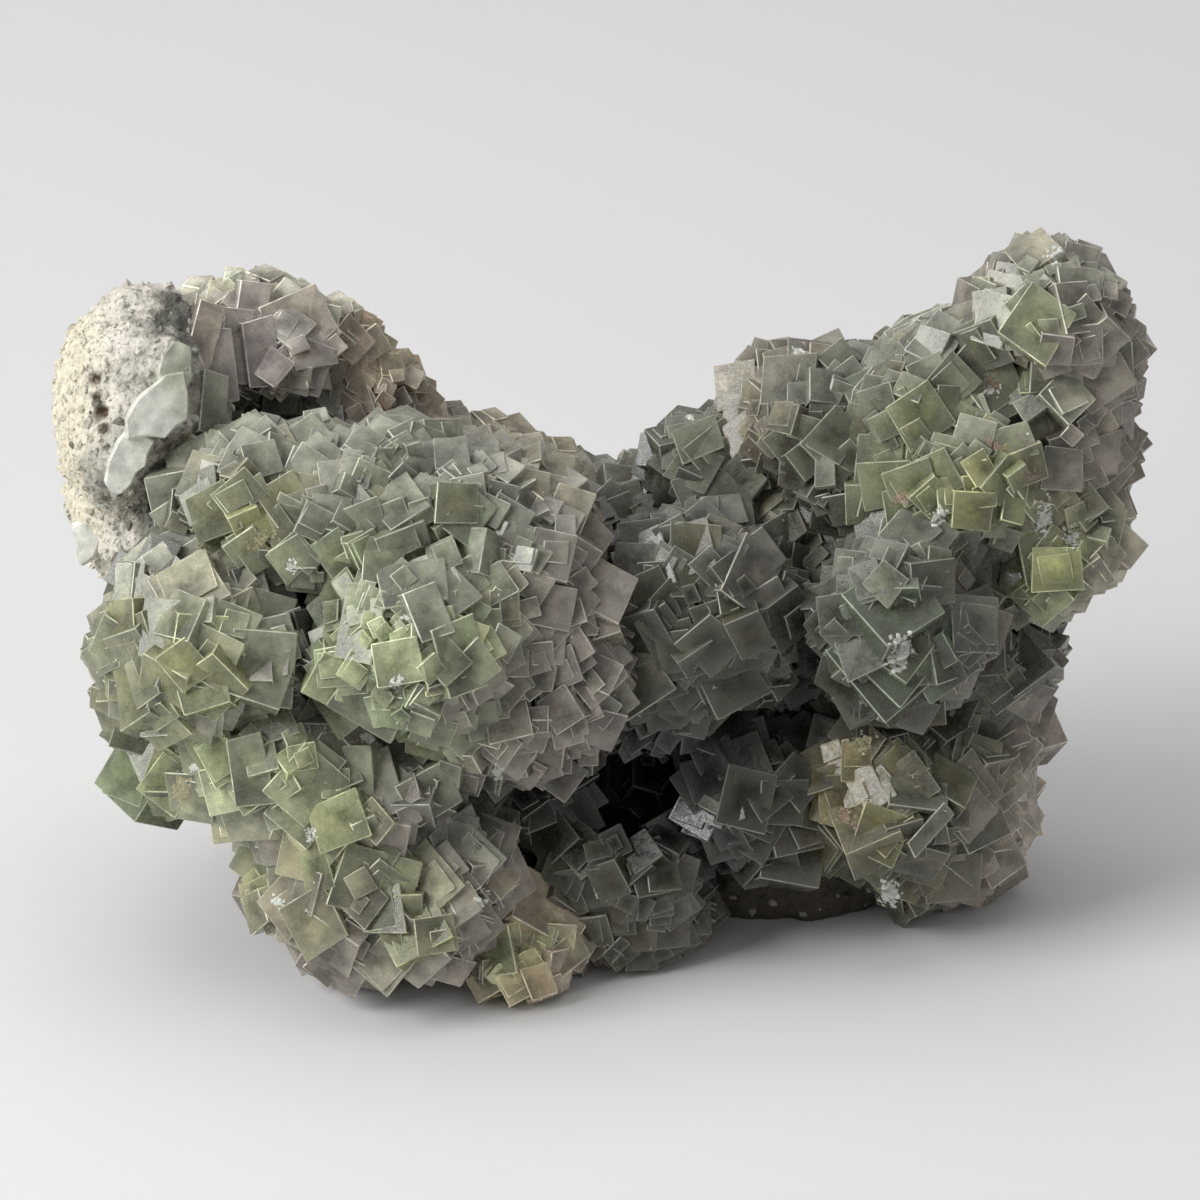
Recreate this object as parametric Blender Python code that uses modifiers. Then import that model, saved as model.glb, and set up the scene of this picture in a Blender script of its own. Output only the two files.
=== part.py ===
"""A hand specimen of green fluorite: rounded lobes of intergrown cubes on a pale granular rock.

Metres, +Z up, resting on z = 0. The front, as a viewer meets it, faces -Y.
"""

import math
import random
from typing import NamedTuple

import bmesh
import bpy
from mathutils import Euler, Matrix, Quaternion, Vector, noise

MM = 0.001

# The whole specimen's width, and the width that the tables below are drawn at, in millimetres
SPECIMEN_WIDTH = 150.0
DRAWN_WIDTH = 150.0

# The rounded bodies under the crystals: how fine they are, and how far inside the crystals' faces
LOBE_VOXEL = 2.4
LOBE_TRIANGLES = 700
LOBE_INSET = 2.2
ROCK_VOXEL = 2.6
ROCK_TRIANGLES = 1000
ROCK_ROUGHNESS = 1.5
ROCK_GRAIN_PITCH = 9.0
ROCK_GAP = 0.4

# The crystals that cover the lobes. Widths and thickness are shares of the spacing.
CRYSTAL_SPACING = 11.5
BACK_CRYSTAL_SPACING = 17.0
CRYSTAL_WIDTHS = (0.8, 1.05)
CRYSTAL_THICKNESS = 0.6
MOST_RISE = 0.6
PLACE_WOBBLE = 0.12
FACING_SHARE = 0.4
MOST_LEAN = math.radians(13)
LEAST_LEAN = math.radians(3)
SEED = 11

# A crystal is left out where its spot is nearer than this to another lobe, to the rock or to the floor
CLEAR_OF_LOBES = 1.06
CLEAR_OF_ROCK = 1.1
CLEAR_OF_FLOOR = 1.5

SCALE = MM * SPECIMEN_WIDTH / DRAWN_WIDTH


class Lump(NamedTuple):
    """An ellipsoid that the rounded mass is built from: its centre and its three radii."""

    name: str
    at: tuple
    radii: tuple


# The lobes of fluorite. Each is one rounded cluster of cubes.
LOBES = [
    Lump("shelf_left", (-46, -7, 65), (12, 12, 11)),
    Lump("shelf_middle", (-29, -10, 65), (13, 13, 12)),
    Lump("shelf_right", (-13, -9, 58), (14, 14, 14)),
    Lump("shelf_flank", (-10, -15, 43), (14, 13, 14)),
    Lump("left_rose", (-25, -23, 52), (12, 12, 12.5)),
    Lump("left_shoulder", (-52, -15, 49), (15.5, 15, 14)),
    Lump("left_elbow", (-55, -9, 32), (9.5, 11, 9.5)),
    Lump("left_cheek", (-42, -18, 34), (12.5, 12, 12)),
    Lump("front_foot", (-29.5, -20, 18), (16.5, 16, 16.5)),
    Lump("front_toe", (-11, -19, 6), (9, 9, 8)),
    Lump("middle_foot", (2.5, -10, 11), (12.5, 12, 13)),
    Lump("middle_heel", (-4, -4, 24), (10, 10, 10)),
    Lump("middle_shell", (14, -6, 50), (14, 13, 14)),
    Lump("middle_shell_low", (5, -5, 38), (10, 10, 10)),
    Lump("valley", (2, 3, 55), (9, 9, 8)),
    Lump("dark_knob", (20, -5, 22), (12, 12, 12)),
    Lump("wing_root", (14.5, 10, 63.5), (8.5, 9, 8.5)),
    Lump("wing_step", (27, 10, 70.5), (8.5, 9, 9)),
    Lump("wing_inner", (34, 5, 69), (11, 11, 11)),
    Lump("wing_upper", (45.5, 5, 73.5), (11.5, 12, 11)),
    Lump("wing_tip", (61.5, 6, 85.5), (11, 12, 11)),
    Lump("wing_outer", (62.5, 7, 69), (10.5, 12, 12)),
    Lump("wing_face", (48, -1, 65), (13, 12, 12.5)),
    Lump("wing_lower", (60.5, 1, 56), (9.5, 10.5, 10)),
    Lump("right_rose", (41, -12, 51), (12, 12, 12.5)),
    Lump("right_side", (52, 2, 42), (9, 10, 9)),
    Lump("right_foot", (40, -4, 22), (14.5, 14, 14)),
    Lump("right_hip", (50.5, 5, 20), (10, 12, 12.5)),
    Lump("right_waist", (54, 8, 31), (8, 9, 9)),
    Lump("right_toe", (47, 6, 8), (9.5, 10, 9)),
    Lump("wall_end", (-49, 19, 77), (13, 10, 10)),
    Lump("wall_high", (-38, 22, 69), (10.5, 10, 10)),
    Lump("wall_middle", (-27, 23, 58), (10, 10, 10)),
    Lump("wall_low", (-14, 23, 51.5), (10.5, 10, 9.5)),
    Lump("wall_saddle", (0, 21, 48.5), (11, 10, 9)),
    Lump("back_upper", (50, 19, 71), (12, 11, 12)),
    Lump("back_inner", (34, 20, 58), (13, 11, 13)),
    Lump("back_outer", (58, 17, 58), (10, 11, 13)),
    Lump("back_waist", (52, 18, 40), (11, 10, 12)),
    Lump("back_left", (-52, 24, 60), (10, 9, 12)),
    Lump("back_saddle", (15, 22, 50), (11, 10, 11)),
]

# The fluorite behind the lobes, which joins them and carries no crystals of its own
INSIDE = [
    Lump("left", (-36, 0, 45), (20, 16, 26)),
    Lump("middle", (4, 6, 36), (26, 14, 20)),
    Lump("right", (42, 6, 48), (18, 14, 30)),
    Lump("wing", (26, 8, 56), (14, 12, 13)),
]

# The pale rock: a dome laid bare at the upper left, a body behind the lobes and a broken base.
ROCK_LUMPS = [
    Lump("dome", (-63, 9, 73), (12, 14, 17)),
    Lump("neck", (-60, 10, 59), (13, 12, 14)),
    Lump("left_body", (-42, 16, 34), (16, 18, 28)),
    Lump("base", (-6, 17, 16), (44, 19, 20)),
    Lump("back", (2, 26, 30), (30, 12, 18)),
    Lump("right_body", (34, 18, 22), (18, 14, 24)),
    Lump("base_front", (24, 10, 5), (26, 14, 11)),
]

# A line through the middle of the mass. Each lobe faces away from the nearest point on it.
SPINE = [(-58, 14, 70), (-36, 10, 36), (0, 12, 22), (34, 10, 26), (48, 10, 56), (56, 12, 74)]

# Crystals large enough to know one by one: centre, width, height, thickness and turn in degrees
LARGE_PLATES = {
    "dome_plate": ((-59, -4.5, 73), (7, 17, 3.5), (70, 0, -33)),
    "dome_chip": ((-70.5, 0, 60), (5, 7, 5), (80, 10, 15)),
    "left_rose_face": ((-26, -32.5, 52), (9, 10, 8), (72, 8, 12)),
    "left_rose_petal": ((-21, -31, 56), (9, 9, 8), (60, 0, -20)),
    "wing_tip_face": ((58, -4.5, 86), (10, 12, 10), (74, 24, 4)),
    "wing_tip_corner": ((66, -3, 83), (10, 10, 9), (80, 4, 20)),
    "right_rose_face": ((41, -22, 50), (9, 11, 9), (74, 30, 4)),
    "right_rose_petal": ((36, -20, 54), (10, 10, 9), (72, 12, -10)),
    "right_rose_rim": ((47, -19, 48), (10, 10, 9), (82, 40, 14)),
    "foot_plate": ((49, -13, 15), (12, 8, 5), (76, -34, 10)),
    "toe_chip": ((-9, -25, 4), (7, 7, 8), (70, 30, 10)),
}


def clear_scene():
    """Start from an empty file."""
    for obj in list(bpy.data.objects):
        bpy.data.objects.remove(obj, do_unlink=True)


def make_collection(name, hidden=False):
    """A collection in the scene; one for cutters is left out of the render."""
    collection = bpy.data.collections.new(name)
    collection.hide_render = hidden
    bpy.context.scene.collection.children.link(collection)
    return collection


def make_material(name, colour, roughness, transmission=0.0):
    """A Principled material with the stone's plain colour and gloss."""
    material = bpy.data.materials.new(name)
    material.use_nodes = True
    shader = material.node_tree.nodes["Principled BSDF"]
    shader.inputs["Base Color"].default_value = (*colour, 1.0)
    shader.inputs["Roughness"].default_value = roughness
    shader.inputs["Transmission Weight"].default_value = transmission
    shader.inputs["Metallic"].default_value = 0.0
    return material


def add_object(name, mesh, collection):
    """An object for a mesh, in its collection."""
    obj = bpy.data.objects.new(name, mesh)
    collection.objects.link(obj)
    return obj


def applied(obj):
    """The object's own mesh replaced by what its modifiers make of it."""
    bpy.context.view_layer.update()
    graph = bpy.context.evaluated_depsgraph_get()
    mesh = bpy.data.meshes.new_from_object(obj.evaluated_get(graph))
    obj.modifiers.clear()
    obj.data = mesh
    return obj


def add_boolean(obj, other, operation, own_overlaps=False):
    """A Boolean with the other object, worked out at once."""
    cut = obj.modifiers.new(other.name, "BOOLEAN")
    cut.operation = operation
    cut.solver = "EXACT"
    cut.use_self = own_overlaps
    cut.object = other
    return applied(obj)


def lumpy_mass(name, lumps, inset, voxel, triangles, collection, roughness=0.0):
    """Ellipsoids melted into one rounded body, roughened along its normals, with about that many triangles."""
    shape = bmesh.new()
    for lump in lumps:
        place = Matrix.Translation(Vector(lump.at) * SCALE)
        size = Matrix.Diagonal((*((r - inset) * SCALE for r in lump.radii), 1.0))
        bmesh.ops.create_icosphere(shape, subdivisions=3, radius=1.0, matrix=place @ size)
    mesh = bpy.data.meshes.new(name)
    shape.to_mesh(mesh)
    shape.free()
    obj = add_object(name, mesh, collection)
    remesh = obj.modifiers.new("melt", "REMESH")
    remesh.mode = "VOXEL"
    remesh.voxel_size = voxel * SCALE
    applied(obj)
    if roughness:
        roughen(obj.data, roughness)
    return thinned(obj, triangles)


def thinned(obj, triangles):
    """The object with about that many triangles, the flattest and smallest taken out first."""
    now = sum(len(face.vertices) - 2 for face in obj.data.polygons)
    thin = obj.modifiers.new("thin", "DECIMATE")
    thin.ratio = min(1.0, triangles / now)
    thin.use_collapse_triangulate = True
    return applied(obj)


def roughen(mesh, depth):
    """Broken stone: each point is moved along its normal by a soft noise."""
    pitch = ROCK_GRAIN_PITCH * SCALE
    moves = [vertex.normal * depth * SCALE * noise.noise(vertex.co / pitch) for vertex in mesh.vertices]
    for vertex, move in zip(mesh.vertices, moves):
        vertex.co += move


def nearness(point, lump):
    """1 on the ellipsoid's surface, less inside it, more outside."""
    return math.sqrt(sum(((p - c) / r) ** 2 for p, c, r in zip(point, lump.at, lump.radii)))


def nearest_on_spine(point):
    """The point of the spine's line that is nearest."""
    best = None
    for start, end in zip(SPINE, SPINE[1:]):
        start, end = Vector(start), Vector(end)
        along = (point - start).dot(end - start) / (end - start).length_squared
        spot = start.lerp(end, min(1.0, max(0.0, along)))
        if best is None or (point - spot).length < (point - best).length:
            best = spot
    return best


def sphere_directions(count):
    """Evenly spread directions, on a spiral from the top of a ball to its bottom."""
    golden = math.pi * (3 - math.sqrt(5))
    for i in range(count):
        height = 1 - 2 * (i + 0.5) / count
        ring = math.sqrt(1 - height * height)
        yield Vector((ring * math.cos(i * golden), ring * math.sin(i * golden), height))


def crystal_matrices(draw):
    """Places, turns and sizes of the cubes that cover the lobes, in millimetres.

    A cube's face lies between the lobe's own facing and the surface there, so the middle
    of a lobe is flat steps and its rim shows corners.
    """
    for lobe in LOBES:
        centre = Vector(lobe.at)
        facing = (centre - nearest_on_spine(centre)).normalized()
        radius = sum(lobe.radii) / 3
        spacing = BACK_CRYSTAL_SPACING if lobe.name.startswith("back") else CRYSTAL_SPACING
        count = round(4 * math.pi * radius * radius / (spacing * spacing))
        others = [other for other in LOBES + INSIDE if other is not lobe]
        for direction in sphere_directions(count):
            wobble = Vector([draw.uniform(-1, 1) for _ in range(3)])
            width = spacing * draw.uniform(*CRYSTAL_WIDTHS)
            depth = spacing * draw.uniform(*CRYSTAL_WIDTHS)
            spin = draw.uniform(0, math.tau)
            lean = draw.uniform(LEAST_LEAN, MOST_LEAN)
            lean_way = draw.uniform(0, math.tau)
            rise = draw.uniform(-MOST_RISE, MOST_RISE)
            outward = (direction + PLACE_WOBBLE * wobble).normalized()
            spot = centre + Vector([o * r for o, r in zip(outward, lobe.radii)])
            if spot.z < CLEAR_OF_FLOOR:
                continue
            if min(nearness(spot, other) for other in others) < CLEAR_OF_LOBES:
                continue
            if min(nearness(spot, lump) for lump in ROCK_LUMPS) < CLEAR_OF_ROCK:
                continue
            normal = Vector([o / r for o, r in zip(outward, lobe.radii)]).normalized()
            share = FACING_SHARE if facing.dot(normal) > 0 else 0.0
            face = (normal * (1 - share) + facing * share).normalized()
            thickness = spacing * CRYSTAL_THICKNESS
            spun = face.to_track_quat("Z", "Y") @ Quaternion((0, 0, 1), spin)
            turn = spun @ Quaternion((math.cos(lean_way), math.sin(lean_way), 0), lean)
            middle = spot + normal * (rise - 0.5 * thickness)
            yield middle, turn, Vector((width, depth, thickness))


def large_plate_matrices():
    """The crystals that are placed one by one."""
    for at, size, turn in LARGE_PLATES.values():
        angles = Euler([math.radians(angle) for angle in turn])
        yield Vector(at), angles.to_quaternion(), Vector(size)


def crystal_blocks(name, places, collection):
    """All the cubes as one object, still overlapping."""
    shape = bmesh.new()
    for at, turn, size in places:
        size_matrix = Matrix.Diagonal((*(size * SCALE), 1.0))
        matrix = Matrix.Translation(at * SCALE) @ turn.to_matrix().to_4x4() @ size_matrix
        bmesh.ops.create_cube(shape, size=1.0, matrix=matrix)
    mesh = bpy.data.meshes.new(name)
    shape.to_mesh(mesh)
    shape.free()
    return add_object(name, mesh, collection)


def grown(obj, by, collection):
    """A copy of a body, larger all round, that cuts its clearance from a neighbour."""
    copy = add_object(obj.name + "_clearance", obj.data.copy(), collection)
    for vertex in copy.data.vertices:
        vertex.co += vertex.normal * by * SCALE
    return copy


def below_floor(collection):
    """A block under z = 0 that trims what would reach below the resting plane."""
    size = 2 * SPECIMEN_WIDTH * SCALE
    shape = bmesh.new()
    place = Matrix.Translation((0, 0, -size / 2))
    bmesh.ops.create_cube(shape, size=size, matrix=place)
    mesh = bpy.data.meshes.new("below_floor")
    shape.to_mesh(mesh)
    shape.free()
    return add_object("below_floor", mesh, collection)


def keep_largest_body(mesh):
    """Chips that the cuts left loose are removed."""
    shape = bmesh.new()
    shape.from_mesh(mesh)
    left, bodies = set(shape.verts), []
    while left:
        todo, body = [left.pop()], set()
        while todo:
            vertex = todo.pop()
            body.add(vertex)
            for edge in vertex.link_edges:
                other = edge.other_vert(vertex)
                if other in left:
                    left.remove(other)
                    todo.append(other)
        bodies.append(body)
    bodies.sort(key=len)
    chips = [vertex for body in bodies[:-1] for vertex in body]
    bmesh.ops.delete(shape, geom=chips, context="VERTS")
    shape.to_mesh(mesh)
    shape.free()


def centre_over_origin(objects):
    """The part's box is centred on the origin as seen from above."""
    points = [vertex.co for obj in objects for vertex in obj.data.vertices]
    middle_x = (min(p.x for p in points) + max(p.x for p in points)) / 2
    middle_y = (min(p.y for p in points) + max(p.y for p in points)) / 2
    for obj in objects:
        obj.data.transform(Matrix.Translation((-middle_x, -middle_y, 0)))


def hide(objects):
    """Cutters show as wires and are left out of the render."""
    for obj in objects:
        obj.hide_render = True
        obj.display_type = "WIRE"


def make_rock(parts, cutters):
    """The host rock, broken flat underneath."""
    rock = lumpy_mass("host_rock", ROCK_LUMPS, 0, ROCK_VOXEL, ROCK_TRIANGLES, parts, ROCK_ROUGHNESS)
    clearance = grown(rock, ROCK_GAP, cutters)
    floor = below_floor(cutters)
    add_boolean(rock, floor, "DIFFERENCE")
    keep_largest_body(rock.data)
    rock.data.materials.append(make_material("pale_granular_rock", (0.74, 0.70, 0.61), 0.92))
    return rock, clearance, floor


def make_fluorite(parts, cutters, clearance, floor):
    """The crystal mass: lobes and cubes joined in one solid that wraps the rock."""
    draw = random.Random(SEED)
    lumps = LOBES + INSIDE
    mass = lumpy_mass("fluorite_crystals", lumps, LOBE_INSET, LOBE_VOXEL, LOBE_TRIANGLES, parts)
    places = [*crystal_matrices(draw), *large_plate_matrices()]
    blocks = crystal_blocks("cubes", places, cutters)
    add_boolean(mass, blocks, "UNION", own_overlaps=True)
    add_boolean(mass, clearance, "DIFFERENCE")
    add_boolean(mass, floor, "DIFFERENCE")
    keep_largest_body(mass.data)
    mass.data.materials.append(make_material("green_fluorite", (0.33, 0.39, 0.31), 0.3, 0.5))
    return mass, blocks


def main():
    clear_scene()
    parts = make_collection("fluorite_specimen")
    cutters = make_collection("cutters", hidden=True)
    rock, clearance, floor = make_rock(parts, cutters)
    mass, blocks = make_fluorite(parts, cutters, clearance, floor)
    centre_over_origin([rock, mass])
    hide([clearance, floor, blocks])


main()
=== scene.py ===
"""The looks of a green fluorite specimen: a crust of small frosted cubes on rounded lobes, and a pale host rock."""

import math
from typing import NamedTuple

import bmesh
import bpy
import numpy as np
from bpy.props import FloatProperty, FloatVectorProperty, PointerProperty
from bpy.types import Operator, Panel, PropertyGroup
from mathutils import Matrix, Vector, noise
from mathutils.bvhtree import BVHTree
from mathutils.kdtree import KDTree


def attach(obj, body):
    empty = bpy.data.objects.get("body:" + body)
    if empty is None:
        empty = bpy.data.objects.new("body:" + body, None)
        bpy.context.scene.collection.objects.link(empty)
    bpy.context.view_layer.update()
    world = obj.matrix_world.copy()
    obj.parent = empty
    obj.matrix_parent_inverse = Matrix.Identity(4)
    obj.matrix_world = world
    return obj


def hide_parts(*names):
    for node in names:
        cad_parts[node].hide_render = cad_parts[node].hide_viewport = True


bl_info = {
    "name": "Fluorite Specimen",
    "version": (1, 0, 0),
    "blender": (4, 5, 0),
    "location": "3D View > Sidebar > Fluorite",
    "description": "Dresses a fluorite specimen with its crystals, its host rock and a studio",
    "category": "Add Mesh",
}

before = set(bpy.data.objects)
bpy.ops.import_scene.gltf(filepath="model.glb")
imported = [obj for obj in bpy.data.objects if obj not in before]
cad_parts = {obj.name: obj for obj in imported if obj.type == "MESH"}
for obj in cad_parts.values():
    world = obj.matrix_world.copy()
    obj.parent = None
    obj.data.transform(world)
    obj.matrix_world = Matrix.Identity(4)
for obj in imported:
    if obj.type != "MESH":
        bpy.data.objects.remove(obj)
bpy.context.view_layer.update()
MM = 0.001

# The tables below are drawn round the middle of the lobes; the part is centred by its box.
MOVE = Vector((-0.25, 0.40, 0.0))


def srgb(red, green, blue):
    """A colour given in 0 to 255 as the linear values that Blender works in."""
    return tuple(((v / 255 + 0.055) / 1.055) ** 2.4 if v > 10 else v / 255 / 12.92 for v in (red, green, blue))


class Lobe(NamedTuple):
    """One rounded cluster: its centre and radii in millimetres, its colour in front and at its rim.

    `look` says where its heart lies in the photo, right and up from its middle as shares of its
    radius. Lobes without it face straight out from the middle of the mass. `gain` is its brightness,
    and it is partly painted light and shade: its low values are painted shade on lobes in shadow.
    """

    name: str
    at: tuple
    radii: tuple
    heart: str
    rim: str
    look: tuple = None
    gain: float = 1.0

    @property
    def family(self):
        """The first word of its name, which it shares with the lobes that it runs together with."""
        return self.name.split("_")[0]


# Each lobe's gain is partly painted light and shade; the low gains paint shade on the lobes that lie in shadow, most of
# them in the middle.
LOBES = [
    Lobe("shelf_left", (-46, -7, 65), (12, 12, 11), "olive", "slate", (0.1, -0.3), 1.1),
    Lobe("shelf_middle", (-29, -10, 65), (13, 13, 12), "green", "slate", (0.1, -0.2)),
    Lobe("shelf_right", (-13, -9, 58), (14, 14, 14), "teal", "mauve", (-0.45, 0.05)),
    Lobe("shelf_flank", (-10, -15, 43), (14, 13, 14), "mauve", "mauve", (-0.5, 0.1)),
    Lobe("shelf_rose", (-25, -23, 52), (12, 12, 12.5), "lime", "green", (-0.05, -0.1), 1.25),
    Lobe("left_shoulder", (-52, -15, 49), (15.5, 15, 14), "olive", "slate", (-0.3, -0.3), 1.35),
    Lobe("left_elbow", (-55, -9, 32), (9.5, 11, 9.5), "olive", "green", (-0.2, 0.2)),
    Lobe("left_cheek", (-42, -18, 34), (12.5, 12, 12), "green", "slate", (0.0, 0.0), 2.1),
    Lobe("left_foot", (-29.5, -20, 18), (16.5, 16, 16.5), "olive", "mauve", (-0.35, 0.1), 1.08),
    Lobe("front_toe", (-11, -19, 6), (9, 9, 8), "lime", "tan", (-0.2, 0.1), 1.9),
    Lobe("middle_foot", (2.5, -10, 11), (12.5, 12, 13), "moss_and_shade", "umber_and_shade", (-0.1, 0.2), 0.5),
    Lobe("middle_heel", (-4, -4, 24), (10, 10, 10), "umber_and_shade", "umber_and_shade", (0.0, 0.3), 0.25),
    Lobe("middle_shell", (14, -6, 50), (14, 13, 14), "moss_and_shade", "mauve", (0.1, -0.2), 0.42),
    Lobe("middle_shell_low", (5, -5, 38), (10, 10, 10), "moss_and_shade", "umber_and_shade", (0.1, 0.2), 0.12),
    Lobe("valley", (2, 3, 55), (9, 9, 8), "umber_and_shade", "mauve", (0.0, 0.4), 0.7),
    Lobe("dark_knob", (20, -5, 22), (12, 12, 12), "shade", "shade", (0.1, 0.2), 0.4),
    Lobe("wing_root", (14.5, 10, 63.5), (8.5, 9, 8.5), "green", "slate", (0.0, 0.2), 0.5),
    Lobe("wing_step", (27, 10, 70.5), (8.5, 9, 9), "green", "tan", (0.1, -0.1), 0.85),
    Lobe("wing_inner", (34, 5, 69), (11, 11, 11), "green", "slate", (0.2, -0.2), 0.44),
    Lobe("wing_upper", (45.5, 5, 73.5), (11.5, 12, 11), "green", "slate", (-0.1, -0.2)),
    Lobe("wing_tip", (61.5, 6, 85.5), (11, 12, 11), "lime", "mauve", (-0.35, -0.05), 1.02),
    Lobe("wing_outer", (62.5, 7, 69), (10.5, 12, 12), "slate", "mauve", (-0.3, 0.0), 1.15),
    Lobe("wing_face", (48, -1, 65), (13, 12, 12.5), "olive", "green", (0.1, -0.3), 1.12),
    Lobe("wing_lower", (60.5, 1, 56), (9.5, 10.5, 10), "olive", "green", (0.0, 0.0), 1.6),
    Lobe("rose_right", (41, -12, 51), (12, 12, 12.5), "teal", "shade", (0.0, -0.15), 0.85),
    Lobe("right_side", (52, 2, 42), (9, 10, 9), "mauve", "mauve", (-0.2, 0.2)),
    Lobe("right_foot", (40, -4, 22), (14.5, 14, 14), "ochre", "moss_and_shade", (-0.3, 0.1), 0.74),
    Lobe("right_hip", (50.5, 5, 20), (10, 12, 12.5), "slate", "mauve", (-0.3, 0.1), 2.0),
    Lobe("right_waist", (54, 8, 31), (8, 9, 9), "mauve", "mauve", (-0.3, 0.2), 1.2),
    Lobe("right_toe", (47, 6, 8), (9.5, 10, 9), "slate", "umber_and_shade", (0.0, 0.2), 1.3),
    Lobe("wall_end", (-49, 19, 77), (13, 10, 10), "dusk", "mauve", (0.1, 0.2), 1.75),
    Lobe("wall_high", (-38, 22, 69), (10.5, 10, 10), "dusk", "tan", (-0.2, 0.1), 1.6),
    Lobe("wall_middle", (-27, 23, 58), (10, 10, 10), "dusk", "tan", (-0.2, 0.2), 1.2),
    Lobe("wall_low", (-14, 23, 51.5), (10.5, 10, 9.5), "dusk", "tan", (-0.2, 0.3), 1.1),
    Lobe("wall_saddle", (0, 21, 48.5), (11, 10, 9), "umber_and_shade", "mauve", (0.0, 0.4)),
    Lobe("back_upper", (50, 19, 71), (12, 11, 12), "green", "mauve"),
    Lobe("back_inner", (34, 20, 58), (13, 11, 13), "mauve", "slate"),
    Lobe("back_outer", (58, 17, 58), (10, 11, 13), "green", "mauve"),
    Lobe("back_waist", (52, 18, 40), (11, 10, 12), "mauve", "slate"),
    Lobe("back_left", (-52, 24, 60), (10, 9, 12), "mauve", "slate"),
    Lobe("back_saddle", (15, 22, 50), (11, 10, 11), "moss_and_shade", "mauve"),
    Lobe("inside_left", (-36, 0, 45), (20, 16, 26), "moss_and_shade", "umber_and_shade"),
    Lobe("inside_middle", (4, 6, 36), (26, 14, 20), "painted_gap_shade", "painted_gap_shade"),
    Lobe("inside_right", (42, 6, 48), (18, 14, 30), "umber_and_shade", "painted_gap_shade"),
    Lobe("inside_wing", (26, 8, 56), (14, 12, 13), "moss_and_shade", "umber_and_shade"),
]


class Family(NamedTuple):
    """What the lobes whose names start with the same word have in common.

    `melting` is how widely they run together, in millimetres. `width` is how wide their crystals
    are next to the others. `piece` is the mesh that their crystals are joined in.
    """

    melting: float
    width: float
    piece: str


FAMILIES = {
    "shelf": Family(3.0, 0.84, "crystals_left"),
    "left": Family(2.6, 1.05, "crystals_left"),
    "front": Family(1.5, 0.95, "crystals_left"),
    "middle": Family(2.6, 0.95, "crystals_middle"),
    "valley": Family(1.5, 0.7, "crystals_middle"),
    "dark": Family(1.0, 1.0, "crystals_middle"),
    "wing": Family(3.0, 0.86, "crystals_right"),
    "rose": Family(1.0, 0.9, "crystals_right"),
    "right": Family(2.4, 0.92, "crystals_right"),
    "wall": Family(3.0, 0.7, "crystals_back"),
    "back": Family(2.5, 0.8, "crystals_back"),
    "inside": Family(2.0, 0.7, "crystals_back"),
}
MELTING_ACROSS = 1.0

# The lobes' surface also swells and sinks along waves of these lengths, in millimetres.
WAVE_COUNT = 10
WAVE_LENGTHS = (9.0, 22.0)
SWELL = 0.42

# Recesses that the crystals leave open: centre and radius
RECESSES = [
    ((-59.0, -6.0, 58.0), 6.5),
    ((-55.5, -8.0, 55.0), 4.5),
    ((5.0, -12.0, 25.0), 8.5),
    ((9.0, -10.0, 28.0), 7.0),
    ((-33.0, -17.0, 57.5), 4.5),
    ((-42.0, -18.0, 56.5), 4.4),
]

# The host rock's lumps: centre and radii
ROCK_LUMPS = [
    ((-63, 9, 73), (12, 14, 17)),
    ((-60, 10, 59), (13, 12, 14)),
    ((-42, 16, 34), (16, 18, 28)),
    ((-6, 17, 16), (44, 19, 20)),
    ((2, 26, 30), (30, 12, 18)),
    ((34, 18, 22), (18, 14, 24)),
    ((24, 10, 5), (26, 14, 11)),
]

# A line through the middle of the mass. Each lobe faces away from the nearest point on it.
SPINE = np.array([(-58, 14, 70), (-36, 10, 36), (0, 12, 22), (34, 10, 26), (48, 10, 56), (56, 12, 74)], float)


class Plate(NamedTuple):
    """A large listed crystal, in millimetres and degrees, as seen in the photo.

    `at` is its middle in the picture, right of the middle and up. `size` is its width, height and
    thickness. `turn` turns it in the picture, `swing` turns its face to the right and `nod` up.
    `lift` is how far it stands above the skin. `tone` is its colour, `gain` its brightness.
    """

    name: str
    at: tuple
    size: tuple
    turn: float
    swing: float
    nod: float
    lift: float
    tone: str
    gain: float = 1.0


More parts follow.
